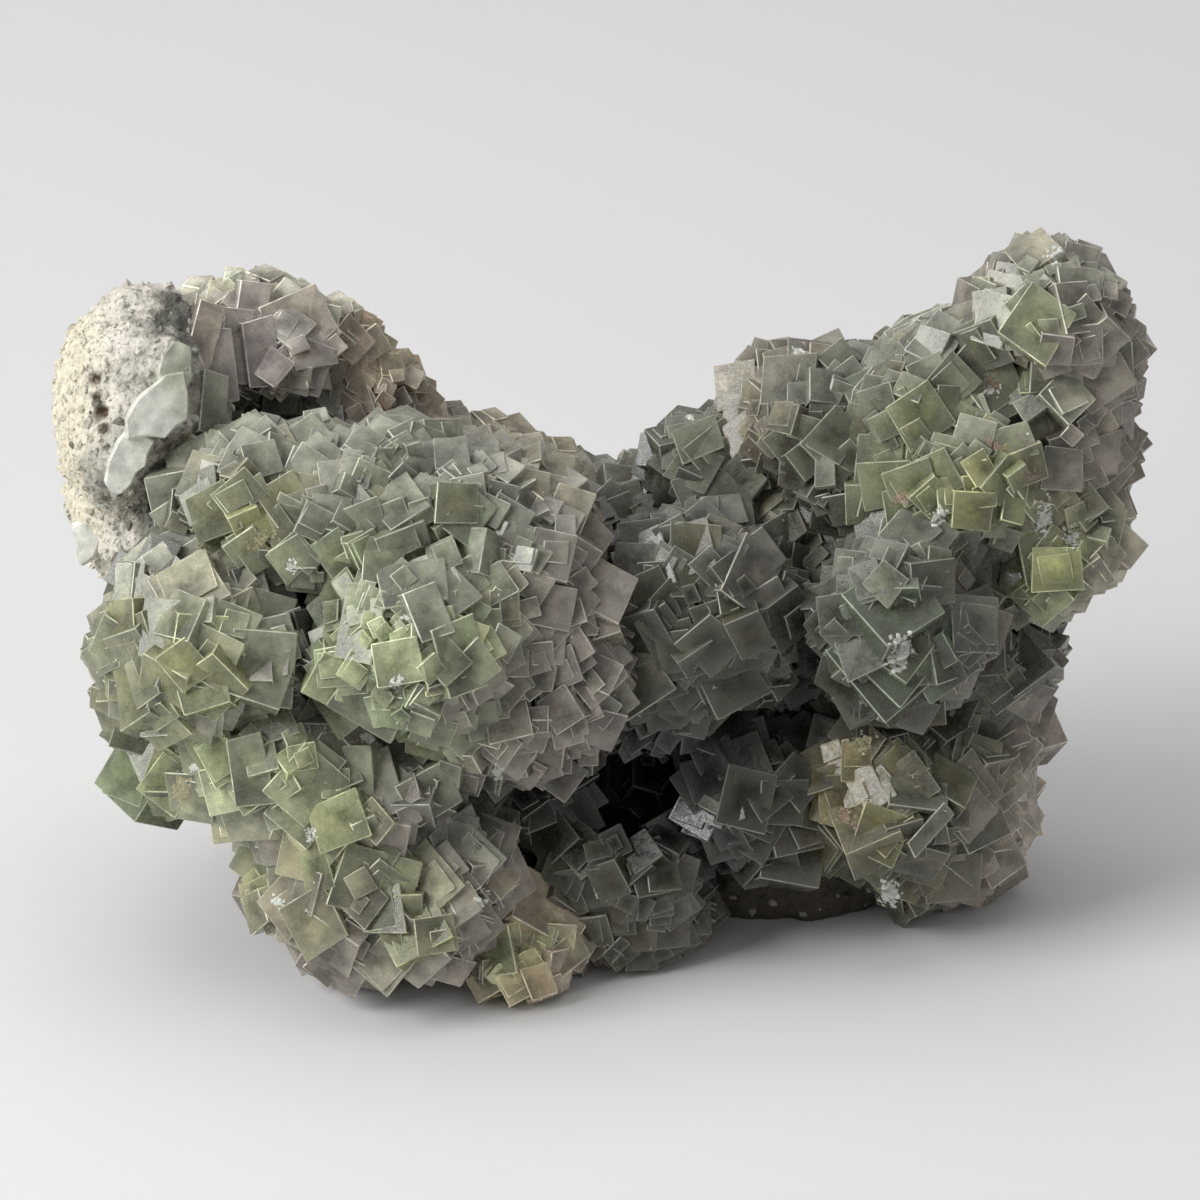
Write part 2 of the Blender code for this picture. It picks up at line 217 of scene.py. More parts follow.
PLATES = [
    Plate("fan_a", (-54.2, 79.4), (4.6, 11.0, 3.0), -14, 16, 10, 2.8, "mauve", 1.25),
    Plate("fan_b", (-52.4, 75.6), (4.8, 12.5, 3.0), 6, 22, 6, 3.2, "mauve", 1.15),
    Plate("fan_c", (-53.2, 70.6), (4.6, 9.8, 3.0), -4, 28, 2, 2.6, "slate", 1.2),
    Plate("fan_d", (-50.0, 78.4), (5.2, 12.5, 3.0), 0, 26, 8, 2.2, "dusk", 1.3),
    Plate("fan_e", (-48.0, 82.8), (5.4, 11.0, 3.0), -8, 20, 10, 1.6, "dusk", 1.35),
    Plate("fan_f", (-46.4, 77.6), (5.4, 11.0, 3.0), 8, 24, 6, 1.4, "dusk", 1.1),
    Plate("fan_g", (-51.0, 69.8), (4.0, 8.6, 3.0), 10, 30, 0, 2.4, "slate", 1.0),
    Plate("recess_a", (-62.2, 55.6), (4.4, 4.4, 3.0), 8, 0, 6, -1.6, "shade", 0.6),
    Plate("recess_b", (-56.0, 56.4), (3.2, 5.2, 2.4), -4, 24, 4, -0.6, "shade", 0.9),
    Plate("recess_c", (-52.6, 58.8), (3.0, 6.6, 2.4), 4, -30, 4, 0.4, "shade", 1.3),
    Plate("recess_d", (-64.2, 49.6), (6.0, 4.6, 2.4), -22, -12, 12, 0.8, "tan", 0.75),
    Plate("wall_face", (-41.2, 82.0), (11.5, 10.0, 4.0), 26, 12, 10, 0.8, "dusk", 1.15),
    Plate("wall_face_low", (-40.6, 76.0), (8.6, 9.5, 4.0), -16, 14, 6, 0.6, "dusk", 0.95),
    Plate("wall_rim", (-34.2, 79.4), (6.8, 6.8, 4.0), -40, 26, 14, 1.0, "tan", 0.85),
    Plate("rose_right_outer", (40.4, 37.0), (17.0, 16.0, 5), 42, 4, 12, -0.6, "shade", 1.15),
    Plate("rose_right_left", (36.2, 40.5), (12.0, 14.0, 5), 20, -16, 10, 0.2, "slate", 0.85),
    Plate("rose_right_top", (40.0, 43.6), (12.5, 11.0, 5), 38, 6, 26, 0.4, "teal", 0.95),
    Plate("rose_right_middle", (40.5, 36.4), (12.6, 12.0, 4), 48, 6, 6, 1.0, "teal", 1.0),
    Plate("rose_right_front", (40.8, 36.8), (8.8, 8.2, 3), 52, 2, 10, 2.1, "green", 1.15),
    Plate("rose_right_wing", (49.0, 38.0), (10.5, 11.5, 4), 12, 36, 4, -0.4, "slate", 0.9),
    Plate("rose_right_rim", (46.4, 41.6), (8.5, 9.5, 4), 28, 30, 16, 0.5, "slate", 1.0),
    Plate("shelf_rose_peak", (-22.8, 41.5), (6.0, 9.0, 3), 22, 14, 18, 2.0, "frost_and_top_light", 1.15),
    Plate("shelf_rose_top", (-24.6, 45.6), (11.0, 8.0, 4), 8, -4, 34, 1.2, "slate", 1.1),
    Plate("shelf_rose_left", (-32.0, 40.0), (7.5, 10.0, 4), -14, -30, 10, 0.4, "teal", 0.85),
    Plate("shelf_rose_low", (-30.6, 29.8), (11.5, 8.5, 4), -28, -18, -18, 0.6, "slate", 0.95),
    Plate("shelf_rose_heart", (-26.5, 35.4), (7.5, 7.0, 3), 12, -8, 0, 2.0, "lime", 1.1),
    Plate("shelf_rose_right", (-18.4, 36.2), (8.0, 11.0, 4), 14, 30, 4, 1.0, "green", 1.05),
    Plate("shoulder_long", (-47.0, 20.8), (6.4, 11.5, 4), 9, -6, -10, 1.5, "slate", 1.15),
    Plate("shoulder_olive", (-53.0, 32.0), (8.5, 7.6, 4), 14, -12, 8, 0.6, "green", 1.0),
    Plate("shoulder_blue", (-45.5, 33.5), (9.5, 8.5, 4), -16, 12, 12, 1.0, "teal", 1.0),
    Plate("shoulder_left", (-58.6, 40.0), (7.0, 9.5, 4), -6, -28, 12, 0.8, "teal", 1.05),
    Plate("shoulder_top", (-52.0, 45.4), (9.0, 6.0, 4), -14, 0, 44, 0.8, "slate", 1.0),
    Plate("shoulder_dark", (-40.0, 36.6), (9.0, 9.0, 4), 28, 26, 14, 0.2, "shade", 1.1),
    Plate("foot_tall", (-33.2, 19.0), (7.2, 11.5, 4), 3, 0, 2, 1.2, "green", 1.0),
    Plate("foot_broad", (-30.2, 5.6), (13.0, 10.5, 5), -14, 6, -12, 1.0, "green", 1.05),
    Plate("foot_glow", (-41.5, 6.6), (9.0, 10.0, 4), 10, -22, 0, 0.8, "lime", 0.95),
    Plate("foot_tooth", (-27.5, -6.6), (7.5, 6.5, 4), 38, 6, -30, 0.8, "tan", 0.8),
    Plate("foot_tooth_left", (-37.0, -6.2), (6.5, 6.0, 4), 50, -10, -28, 0.6, "tan", 0.85),
    Plate("foot_side", (-18.5, 10.0), (9.5, 10.0, 4), 24, 34, 4, 0.6, "mauve", 1.0),
    Plate("cheek_right", (-22.6, 17.6), (8.5, 8.0, 4), 30, 14, -4, 1.2, "slate", 1.05),
    Plate("toe_cream", (-8.4, -8.4), (4.6, 5.2, 4), 18, 10, 0, 2.6, "tan", 1.15),
    Plate("toe_green", (-13.6, -4.2), (5.6, 8.0, 4), 8, -20, 6, 1.6, "lime", 1.0),
    Plate("toe_right", (-4.4, -4.8), (6.5, 5.2, 4), 34, 24, 0, 1.4, "lime", 0.85),
    Plate("shell_tall", (13.2, 49.2), (8.0, 13.0, 4), -3, -2, 12, 0.9, "moss_and_shade", 1.25),
    Plate("shell_right", (21.0, 47.4), (8.0, 11.5, 4), -24, 28, 12, 0.6, "mauve", 0.95),
    Plate("shell_left", (6.4, 48.8), (7.5, 10.5, 4), 16, -26, 14, 0.4, "mauve", 0.9),
    Plate("shell_low", (4.8, 33.0), (9.5, 10.5, 4), 34, -12, 0, 0.6, "moss_and_shade", 0.75),
    Plate("knob_top", (19.0, 23.0), (10.0, 8.0, 4), 22, 0, 26, 0.8, "shade", 1.0),
    Plate("knob_face", (20.2, 16.4), (8.5, 9.5, 4), -14, 4, 4, 1.2, "shade", 1.05),
    Plate("knob_glint", (15.6, 15.0), (3.4, 2.2, 1.5), -32, -8, 20, 2.6, "frost_and_top_light", 1.1),
    Plate("knob_left", (13.0, 20.6), (6.5, 8.5, 4), 12, -30, 8, 0.4, "shade", 0.85),
    Plate("foot_slab", (45.2, 12.4), (2.6, 9.6, 3), -42, 8, 0, 2.6, "frost_and_top_light", 0.95),
    Plate("foot_shelf", (43.6, 16.8), (9.5, 5.0, 3), -4, 8, 30, 1.4, "frost_and_top_light", 0.7),
    Plate("foot_ochre", (34.4, 18.6), (8.5, 8.0, 4), 16, -8, 6, 0.8, "ochre", 0.85),
    Plate("foot_green", (38.6, 11.6), (8.0, 8.5, 4), -22, 2, -6, 0.8, "olive", 0.85),
    Plate("hip_face", (52.6, 14.0), (9.5, 10.0, 4), 22, 24, 4, 0.8, "slate", 0.95),
    Plate("tip_face", (59.4, 80.8), (9.6, 10.0, 5), -32, -4, 10, 0.9, "lime", 0.9),
    Plate("tip_left", (53.6, 81.6), (5.8, 8.6, 3), -16, -24, 6, 1.2, "frost_and_top_light", 1.05),
    Plate("tip_low", (62.0, 74.4), (8.5, 6.0, 3), 4, 6, -14, 1.0, "slate", 1.1),
    Plate("tip_right", (64.6, 83.4), (7.0, 8.5, 4), 14, 28, 16, 0.8, "mauve", 1.1),
    Plate("wing_pale", (46.2, 78.8), (6.8, 8.6, 4), -36, -10, 24, 1.4, "frost_and_top_light", 0.95),
    Plate("wing_slab", (49.4, 68.2), (10.0, 4.4, 3), -31, 2, 20, 1.8, "green", 1.2),
    Plate("wing_heart", (50.6, 59.4), (7.0, 8.5, 4), 3, 2, 6, 0.5, "olive", 1.0),
    Plate("wing_bar", (56.6, 58.2), (4.0, 9.5, 3), -8, 14, 4, 0.7, "olive", 1.0),
    Plate("wing_block", (38.2, 62.2), (8.0, 10.0, 4), -4, -14, 6, 0.8, "green", 0.9),
    Plate("wing_low_block", (42.6, 55.8), (9.0, 8.0, 4), 10, -6, -4, 0.6, "green", 0.85),
    Plate("wing_glint", (31.0, 60.8), (3.2, 5.0, 2), -2, -10, 14, 2.2, "frost_and_top_light", 1.1),
    Plate("wing_left_plate", (24.6, 57.8), (5.4, 9.0, 3), -8, -28, 4, 0.6, "slate", 0.9),
    Plate("wing_high", (37.0, 72.6), (8.0, 7.0, 4), 26, -8, 26, 0.8, "green", 1.0),
    Plate("step_top", (26.2, 76.0), (7.5, 6.0, 5), 14, -10, 30, 1.6, "tan", 1.0),
    Plate("step_right", (31.4, 76.8), (6.0, 5.2, 4), -8, 10, 28, 0.8, "tan", 0.95),
    Plate("root_face", (13.6, 65.6), (8.0, 6.5, 4), 20, -14, 24, 0.8, "green", 0.95),
    Plate("lower_wing_face", (60.6, 49.6), (7.5, 8.0, 4), 16, 10, -6, 0.8, "slate", 1.05),
    Plate("shelf_crest_left", (-36.5, 68.8), (9.5, 6.0, 4), -12, 8, 40, 0.8, "slate", 1.05),
    Plate("shelf_crest", (-28.0, 66.4), (7.0, 6.5, 4), 18, 12, 36, 0.8, "frost_and_top_light", 0.95),
    Plate("shelf_teal", (-18.0, 55.4), (7.5, 8.5, 4), -38, 12, 10, 1.0, "teal", 1.05),
]

# A plate's half width as a share of its size, and how far its face is sunk
PLATE_HALF = 0.42
PLATE_SINK = 0.6


class Shard(NamedTuple):
    """A broken plate of clear fluorite on the rock: its outline in the picture, in millimetres.

    `swing`, `nod` and `lift` are as for a Plate.
    """

    outline: tuple
    swing: float
    nod: float
    lift: float
    thickness: float


SHARDS = [
    Shard(
        (
            (-56.0, 74.6), (-55.4, 71.7), (-55.6, 68.1), (-57.1, 67.3), (-58.5, 65.5), (-60.7, 65.9),
            (-63.6, 65.4), (-63.8, 68.1), (-62.3, 70.9), (-60.4, 72.5), (-58.5, 74.2),
        ),
        14, -2, 2.6, 2.0,
    ),
    Shard(
        (
            (-62.1, 66.5), (-60.0, 65.1), (-61.0, 63.4), (-61.2, 61.8), (-62.5, 60.9), (-63.2, 59.3),
            (-64.7, 57.9), (-65.9, 58.2), (-66.9, 59.4), (-66.2, 62.6), (-65.0, 65.1), (-63.4, 67.3),
        ),
        6, -12, 3.2, 1.8,
    ),
    Shard(
        (
            (-57.6, 78.9), (-55.2, 78.0), (-54.9, 73.6), (-56.5, 71.1), (-58.7, 71.7), (-59.6, 74.5),
            (-59.0, 76.9),
        ),
        26, 8, 1.4, 1.8,
    ),
    Shard(
        (
            (-72.9, 54.3), (-71.2, 55.1), (-68.8, 54.0), (-68.4, 52.1), (-69.4, 49.6), (-71.2, 48.3),
            (-72.3, 49.4), (-71.8, 51.3),
        ),
        -14, -6, 2.0, 2.2,
    ),
]

# The width of a shard's worn edge and the longest edge left in its mesh
SHARD_EDGE = 0.00022
SHARD_GRAIN = 0.0011

# Clusters of small pale flakes: place in the picture, radius, how many, how wide, and their tone.
# The flakes in the edge tone are partly painted glints, set where light sparkles on the crust.
SPLINTERS = [
    ((40.6, 36.6), 4.2, 184, 0.715, "edge"),
    ((-31.2, 25.0), 1.8, 80, 0.495, "edge"),
    ((-13.6, 20.2), 1.8, 72, 0.495, "edge"),
    ((-25.6, 41.4), 1.2, 40, 0.44, "edge"),
    ((-27.0, 32.4), 2.6, 56, 0.495, "edge"),
    ((60.5, 54.8), 3.6, 136, 0.605, "edge"),
    ((64.5, 52.0), 3.0, 64, 0.55, "edge"),
    ((62.0, 90.2), 3.4, 64, 0.55, "edge"),
    ((60.2, 66.2), 2.8, 56, 0.495, "edge"),
    ((53.4, 72.0), 2.4, 40, 0.44, "edge"),
    ((40.8, 57.4), 2.2, 104, 0.44, "rust"),
    ((53.6, 64.6), 2.0, 72, 0.385, "rust"),
    ((58.4, 60.4), 2.2, 72, 0.385, "rust"),
    ((53.4, 73.0), 3.0, 72, 0.385, "rust"),
    ((46.0, 55.0), 2.4, 96, 0.495, "edge"),
    ((-56.6, 17.8), 3.4, 240, 0.605, "grit"),
    ((-54.8, 21.0), 1.0, 24, 0.77, "edge"),
    ((-45.0, 51.8), 3.6, 104, 0.495, "grit"),
    ((-41.0, 48.2), 2.0, 32, 0.44, "edge"),
    ((36.0, 24.0), 3.2, 104, 0.55, "grit"),
    ((34.0, 14.0), 2.4, 72, 0.495, "rust"),
    ((40.4, 3.2), 3.6, 136, 0.715, "edge"),
    ((-38.8, 12.0), 2.0, 64, 0.44, "edge"),
    ((-43.6, 2.8), 1.6, 48, 0.495, "edge"),
    ((-15.6, 3.4), 2.2, 48, 0.495, "edge"),
    ((27.4, 77.8), 1.4, 32, 0.495, "edge"),
    ((12.6, 68.8), 1.2, 24, 0.44, "edge"),
]

# Stains on the rock: place in the picture, radius, tone, strength
STAINS = [
    ((-68.4, 73.6), 1.0, "pit", 1.0),
    ((-68.0, 71.4), 0.8, "pit", 0.9),
    ((-67.5, 69.2), 1.2, "pit", 1.0),
    ((-67.2, 66.8), 1.0, "pit", 1.0),
    ((-66.6, 64.2), 0.7, "pit", 0.7),
    ((-57.5, 83.0), 3.4, "speck", 0.85),
    ((-55.5, 79.5), 2.6, "speck", 0.8),
    ((-61.0, 80.5), 2.0, "speck", 0.5),
    ((-63.5, 74.0), 2.6, "grey", 0.7),
    ((-56.0, 73.0), 5.0, "grey", 0.8),
    ((-66.0, 62.0), 5.0, "grey", 0.6),
    ((-64.0, 57.5), 4.0, "moss_and_shade", 0.55),
    ((-68.0, 59.0), 2.2, "speck", 0.5),
    ((-62.0, 66.0), 3.0, "grey", 0.6),
    ((-57.6, 59.4), 4.6, "umber_and_shade", 0.9),
    ((-55.8, 63.6), 3.6, "umber_and_shade", 0.85),
    ((-60.4, 55.2), 3.4, "speck", 0.7),
    ((-54.0, 79.0), 2.2, "mauve", 0.7),
    ((-53.0, 73.0), 3.4, "mauve", 0.8),
]

# The photo's view: right, up in the picture and towards the camera
PITCH = math.radians(25)
RIGHT = np.array([1.0, 0.0, 0.0])
UP = np.array([0.0, math.sin(PITCH), math.cos(PITCH)])
TOWARDS = np.array([0.0, -math.cos(PITCH), math.sin(PITCH)])

# A ray from the camera starts this far in front. It stops this near the skin, or this far off it.
RAY_START = 90.0
RAY_STEPS = 160
RAY_HIT = 0.02
RAY_LOST = 140.0
RAY_SHORTEST = 0.05

# Where crystals may stand: how high above the floor, how far out of the rock's lumps as a share of
# their radius, how deep a first place may lie and how far off the skin a settled one, in millimetres
FLOOR_GAP = 1.2
ROCK_GAP = 1.03
DEEPEST_SPOT = -5.0
OFF_SKIN = 0.7
SPOT_JITTER = 0.4

# How close the crystals of the crust stand, as a share of their width
CRUST_CLOSENESS = 0.42

# Small crystals fill the crevices: narrowest, widest, height above the skin and closeness
CREVICES = (1.7, 3.6, -1.0, 1.1)

# How far the crystals' faces turn from the skin to their lobe's heart, in front and behind
HEART_PULL = 0.38
HEART_PULL_BEHIND = 0.18

# The crystals' unevenness: turn and lean, their second and third side next to the first, the range
# of their brightness, and how far a corner is off as a share of the half width
SPIN_SPREAD = 0.28
LEAN_SPREAD = 0.4
SECOND_SIDE = (0.8, 1.15)
THICKNESS = (0.5, 0.85)
TONE_SPREAD = 0.16
SKEW = 0.11

# A crystal with a half width over this may carry a smaller one, grown out of its face. This share
# of them does, at these sizes and brightnesses next to its own.
STEP_WIDTH = 1.9
STEP_SHARE = 0.4
STEP_SIZES = (0.5, 0.85)
STEP_TONES = (0.95, 1.25)

# How bright a crystal's face is painted at its covered end, a painted shade under the next crystal,
# and at its free end, a painted light
FACE_SHADE_AND_LIGHT = (0.66, 2.14)

# Light in fluorite: how strongly it bends, and how much of it goes into a crystal and a clear shard
FLUORITE_IOR = 1.434
CRYSTAL_CLEARNESS = 0.6
SHARD_CLEARNESS = 0.25

# The studio, in metres: each light's place, size and watts, the grey air, and the camera
LIGHTS = {
    "key": ((-0.95, -0.5, 0.72), 0.7, 15.0),
    "fill": ((0.9, -0.9, 0.5), 0.9, 0.6),
    "top": ((-0.1, 0.2, 1.3), 1.2, 6.5),
}
LIT_PLACE = (0, 0, 0.045)
AIR_COLOUR = (0.77, 0.77, 0.77, 1.0)
AIR_STRENGTH = 0.4
FLOOR_SIZE = 6.0
CAMERA_TARGET = (0, 0, 0.0484)
CAMERA_LENS = 217.7


class CrystalSizes(PropertyGroup):
    """Sizes of the crystals and of the bodies that carry them."""

    narrowest: FloatProperty(
        name="Narrowest", description="Width of the smallest crystals of the crust", default=0.0027, unit="LENGTH"
    )
    widest: FloatProperty(
        name="Widest", description="Width of the largest crystals of the crust", default=0.0088, unit="LENGTH"
    )
    edge: FloatProperty(name="Edge", description="Width of the worn edge of a cube", default=0.00013, unit="LENGTH")
    rise: FloatProperty(
        name="Rise", description="How far crystals stand above or below the lobe", default=0.0009, unit="LENGTH"
    )
    lean: FloatProperty(
        name="Lean",
        description="Most that a crystal leans from its neighbours",
        default=math.radians(36),
        subtype="ANGLE",
    )
    inset: FloatProperty(
        name="Inset", description="Depth of the lobes' body under the crystals' faces", default=0.0036, unit="LENGTH"
    )


class RockSizes(PropertyGroup):
    """Sizes of the host rock's surface."""

    voxel: FloatProperty(name="Grain", description="Finest detail of the rock's surface", default=0.0007, unit="LENGTH")
    relief: FloatProperty(name="Relief", description="Height of the rock's lumps", default=0.0010, unit="LENGTH")


class SpecimenColours(PropertyGroup):
    """The colours that the crystals, the rock and the studio are mixed from."""

    olive: FloatVectorProperty(
        name="Olive", description="Yellow-green heart of a lobe", default=srgb(136, 137, 95), subtype="COLOR"
    )
    lime: FloatVectorProperty(
        name="Lime", description="Palest green heart", default=srgb(158, 164, 128), subtype="COLOR"
    )
    green: FloatVectorProperty(
        name="Green", description="Plain green", default=srgb(121, 130, 98), subtype="COLOR"
    )
    teal: FloatVectorProperty(
        name="Teal", description="Bluish green", default=srgb(112, 122, 100), subtype="COLOR"
    )
    slate: FloatVectorProperty(
        name="Slate", description="Blue-grey crystals", default=srgb(122, 122, 104), subtype="COLOR"
    )
    # This pale grey is also painted light: the skin's upward faces are paled towards it, as light falls from above.
    frost_and_top_light: FloatVectorProperty(
        name="Frost", description="Pale grey upper crystals", default=srgb(164, 164, 151), subtype="COLOR"
    )
    # This grey-violet is also painted shade: the skin's right and lower sides are tinted with it.
    mauve: FloatVectorProperty(
        name="Mauve", description="Grey-violet outer crystals", default=srgb(146, 138, 129), subtype="COLOR"
    )
    dusk: FloatVectorProperty(
        name="Dusk", description="Brown-violet of the sheltered wall", default=srgb(136, 126, 125), subtype="COLOR"
    )
    # The umber, moss and shade colours are partly painted shade, kept dark for the lobes in shadow in the middle and
    # inside the mass.
    umber_and_shade: FloatVectorProperty(
        name="Umber", description="Brown-grey sheltered crystals", default=srgb(94, 84, 72), subtype="COLOR"
    )
    moss_and_shade: FloatVectorProperty(
        name="Moss", description="Dark green", default=srgb(86, 82, 46), subtype="COLOR"
    )
    shade: FloatVectorProperty(
        name="Shade", description="Dark blue-green of the deep crystals", default=srgb(60, 62, 48), subtype="COLOR"
    )
    ochre: FloatVectorProperty(
        name="Ochre", description="Brown-yellow heart", default=srgb(150, 138, 94), subtype="COLOR"
    )
    tan: FloatVectorProperty(
        name="Tan", description="Pale backlit crystals", default=srgb(168, 150, 126), subtype="COLOR"
    )
    # This colour is painted shade: the dark of the deepest gaps, set on the inside lobes.
    painted_gap_shade: FloatVectorProperty(
        name="Night", description="Deepest gaps", default=srgb(20, 17, 15), subtype="COLOR"
    )
    glass: FloatVectorProperty(
        name="Glass", description="Clearest pale plates", default=srgb(240, 241, 230), subtype="COLOR"
    )
    rust: FloatVectorProperty(
        name="Rust", description="Pink-brown specks in the crevices", default=srgb(150, 130, 112), subtype="COLOR"
    )
    grit: FloatVectorProperty(
        name="Grit", description="Yellow-grey grit in the hearts", default=srgb(156, 150, 118), subtype="COLOR"
    )
    edge: FloatVectorProperty(
        name="Worn edge", description="Pale edges of the cubes", default=srgb(206, 210, 200), subtype="COLOR"
    )
    rock: FloatVectorProperty(
        name="Rock", description="Cream of the host rock", default=srgb(228, 223, 210), subtype="COLOR"
    )
    speck: FloatVectorProperty(
        name="Speck", description="Dark specks in the rock", default=srgb(72, 74, 66), subtype="COLOR"
    )
    grey: FloatVectorProperty(
        name="Grey", description="Grey grains of the rock", default=srgb(182, 181, 172), subtype="COLOR"
    )
    pit: FloatVectorProperty(
        name="Pit", description="Brown pits in the rock", default=srgb(92, 70, 50), subtype="COLOR"
    )
    floor: FloatVectorProperty(
        name="Floor", description="The studio's floor", default=srgb(224, 224, 224), subtype="COLOR"
    )


def seeded(name):
    """Random numbers that stay the same for a piece of that name."""
    return np.random.RandomState(sum((i + 1) * ord(c) for i, c in enumerate(name)) % 100003)


def unit(rows):
    """Rows of vectors at length one."""
    return rows / np.linalg.norm(rows, axis=-1, keepdims=True)


def square_to(rows, others):
    """Rows of vectors made square to others, at length one."""
    return unit(rows - others * np.sum(rows * others, axis=-1, keepdims=True))


def placed(drawn):
    """Places drawn in millimetres, in the part's frame and in metres."""
    return (drawn + np.array(MOVE)) * MM


def drawn_from(points):
    """Places in the part's frame, as drawn in millimetres."""
    return points / MM - np.array(MOVE)


def picture_places(drawn):
    """Where places lie in the photo, right of its middle and up."""
    return np.stack([drawn @ RIGHT, drawn @ UP], axis=1)


def blended(tones, colour, shares):
    """Tones taken towards a colour, or towards rows of colours, by each one's share."""
    shares = np.reshape(shares, (-1, 1))
    return tones * (1 - shares) + np.array(colour) * shares


def nearness(points, at, radii):
    """1 on an ellipsoid's surface, less inside it, more outside, for each point."""
    return np.linalg.norm((points - np.array(at, float)) / np.array(radii, float), axis=-1)


def smooth_step(values, low, high):
    """0 below `low`, 1 above `high`, and a soft ramp between."""
    share = np.clip((values - low) / (high - low), 0, 1)
    return share * share * (3 - 2 * share)


def heart_of(lobe):
    """The direction from a lobe's middle to its heart."""
    if lobe.look:
        right, up = lobe.look
        return RIGHT * right + UP * up + TOWARDS * math.sqrt(1 - right * right - up * up)
    centre = np.array(lobe.at, float)
    best = None
    for start, end in zip(SPINE[:-1], SPINE[1:]):
        along = np.dot(centre - start, end - start) / np.dot(end - start, end - start)
        spot = start + (end - start) * min(1.0, max(0.0, along))
        if best is None or np.linalg.norm(centre - spot) < np.linalg.norm(centre - best):
            best = spot
    return unit(centre - best)


CENTRES = np.array([lobe.at for lobe in LOBES], float)
RADII = np.array([lobe.radii for lobe in LOBES], float)
HEARTS = np.array([heart_of(lobe) for lobe in LOBES])
MEMBERS = {family: [i for i, lobe in enumerate(LOBES) if lobe.family == family] for family in FAMILIES}


def lobe_heights(points):
    """How far each point stands above each lobe's own surface, in millimetres."""
    away = points[:, None, :] - CENTRES[None]
    near = np.linalg.norm(away / RADII[None], axis=2)
    slope = np.linalg.norm(away / RADII[None] ** 2, axis=2) + 1e-9
    return near * (near - 1) / slope


def swell_waves():
    """Waves of random direction, length and phase that make the lobes uneven."""
    draw = np.random.RandomState(4)
    ways = unit(draw.normal(size=(WAVE_COUNT, 3)))
    lengths = draw.uniform(*WAVE_LENGTHS, WAVE_COUNT)
    return ways * (2 * math.pi / lengths)[:, None], draw.uniform(0, 2 * math.pi, WAVE_COUNT)


WAVES, PHASES = swell_waves()


def skin_height(points):
    """How far each point stands above the uneven skin round all lobes."""
    heights = lobe_heights(points)
    total = 0.0
    for family, members in MEMBERS.items():
        reach = FAMILIES[family].melting
        together = -reach * np.log(np.exp(-heights[:, members] / reach).sum(axis=1))
        total = total + np.exp(-together / MELTING_ACROSS)
    return -MELTING_ACROSS * np.log(total) - SWELL * np.sin(points @ WAVES.T + PHASES).sum(axis=1)


def skin_normals(points):
    """The direction straight out of the skin at each point."""
    step = 0.05
    sides = [skin_height(points + way) - skin_height(points - way) for way in np.eye(3) * step]
    return unit(np.stack(sides, axis=1) + 1e-12)


def onto_skin(points, height):
    """Points moved straight in or out to a height above the skin, and the skin's normals there."""
    for _ in range(4):
        normals = skin_normals(points)
        points = points + normals * (height - skin_height(points))[:, None]
    return points, normals


def ball_directions(count):
    """Evenly spread directions on a spiral from the top of a ball to its bottom."""
    i = np.arange(count)
    height = 1 - 2 * (i + 0.5) / count
    ring = np.sqrt(1 - height * height)
    turn = i * math.pi * (3 - math.sqrt(5))
    return np.stack([ring * np.cos(turn), ring * np.sin(turn), height], axis=1)


def patches(points, width, seed):
    """Soft random patches of a width in millimetres, about -1 to 1."""
    return np.array([noise.noise(Vector(p) / width + Vector((seed, 0, 0))) for p in points])


def spread_out(spots, widths, closeness):
    """Picks spots, wide ones first, so that no two stand closer than a share of their mean width."""
    tree = KDTree(len(spots))
    for i, spot in enumerate(spots):
        tree.insert(spot, i)
    tree.balance()
    free = np.ones(len(spots), bool)
    picked = []
    for i in np.argsort(-widths):
        if free[i]:
            picked.append(i)
            for _, j, distance in tree.find_range(spots[i], closeness * widths[i]):
                if distance < closeness * (widths[i] + widths[j]) / 2:
                    free[j] = False
    return np.array(picked)


def skin_spots(spacing, height, draw):
    """Places for crystals all over the skin, clear of the rock and the floor, and the normals there."""
    spots = []
    for centre, radii in zip(CENTRES, RADII):
        count = int(4 * math.pi * radii.mean() ** 2 / spacing**2)
        jitter = draw.normal(scale=SPOT_JITTER * spacing / radii.mean(), size=(count, 3))
        spots.append(centre + unit(ball_directions(count) + jitter) * radii)
    spots = np.concatenate(spots)
    spots, normals = onto_skin(spots[skin_height(spots) > DEEPEST_SPOT], height)
    clear = (spots[:, 2] > FLOOR_GAP) & (np.abs(skin_height(spots) - height) < OFF_SKIN)
    for centre, radius in RECESSES:
        clear &= np.linalg.norm(spots - np.array(centre), axis=1) > radius
    for at, radii in ROCK_LUMPS:
        clear &= nearness(spots, at, radii) > ROCK_GAP
    return spots[clear], normals[clear]


def picture_spot(across, up):
    """The front-most place on the skin or the rock at a place in the photo."""
    spot = RIGHT * across + UP * up + TOWARDS * RAY_START
    for _ in range(RAY_STEPS):
        rock = min(float((nearness(spot, at, radii) - 1) * min(radii)) for at, radii in ROCK_LUMPS)
        height = min(rock, float(skin_height(spot[None])[0]))
        if height < RAY_HIT or height > RAY_LOST:
            break
        spot = spot - TOWARDS * max(RAY_SHORTEST, 0.7 * height)
    return spot


def facing(swing, nod):
    """The direction of a face that is swung to the right and nodded up from the camera, in degrees."""
    return unit(TOWARDS + RIGHT * math.tan(math.radians(swing)) + UP * math.tan(math.radians(nod)))


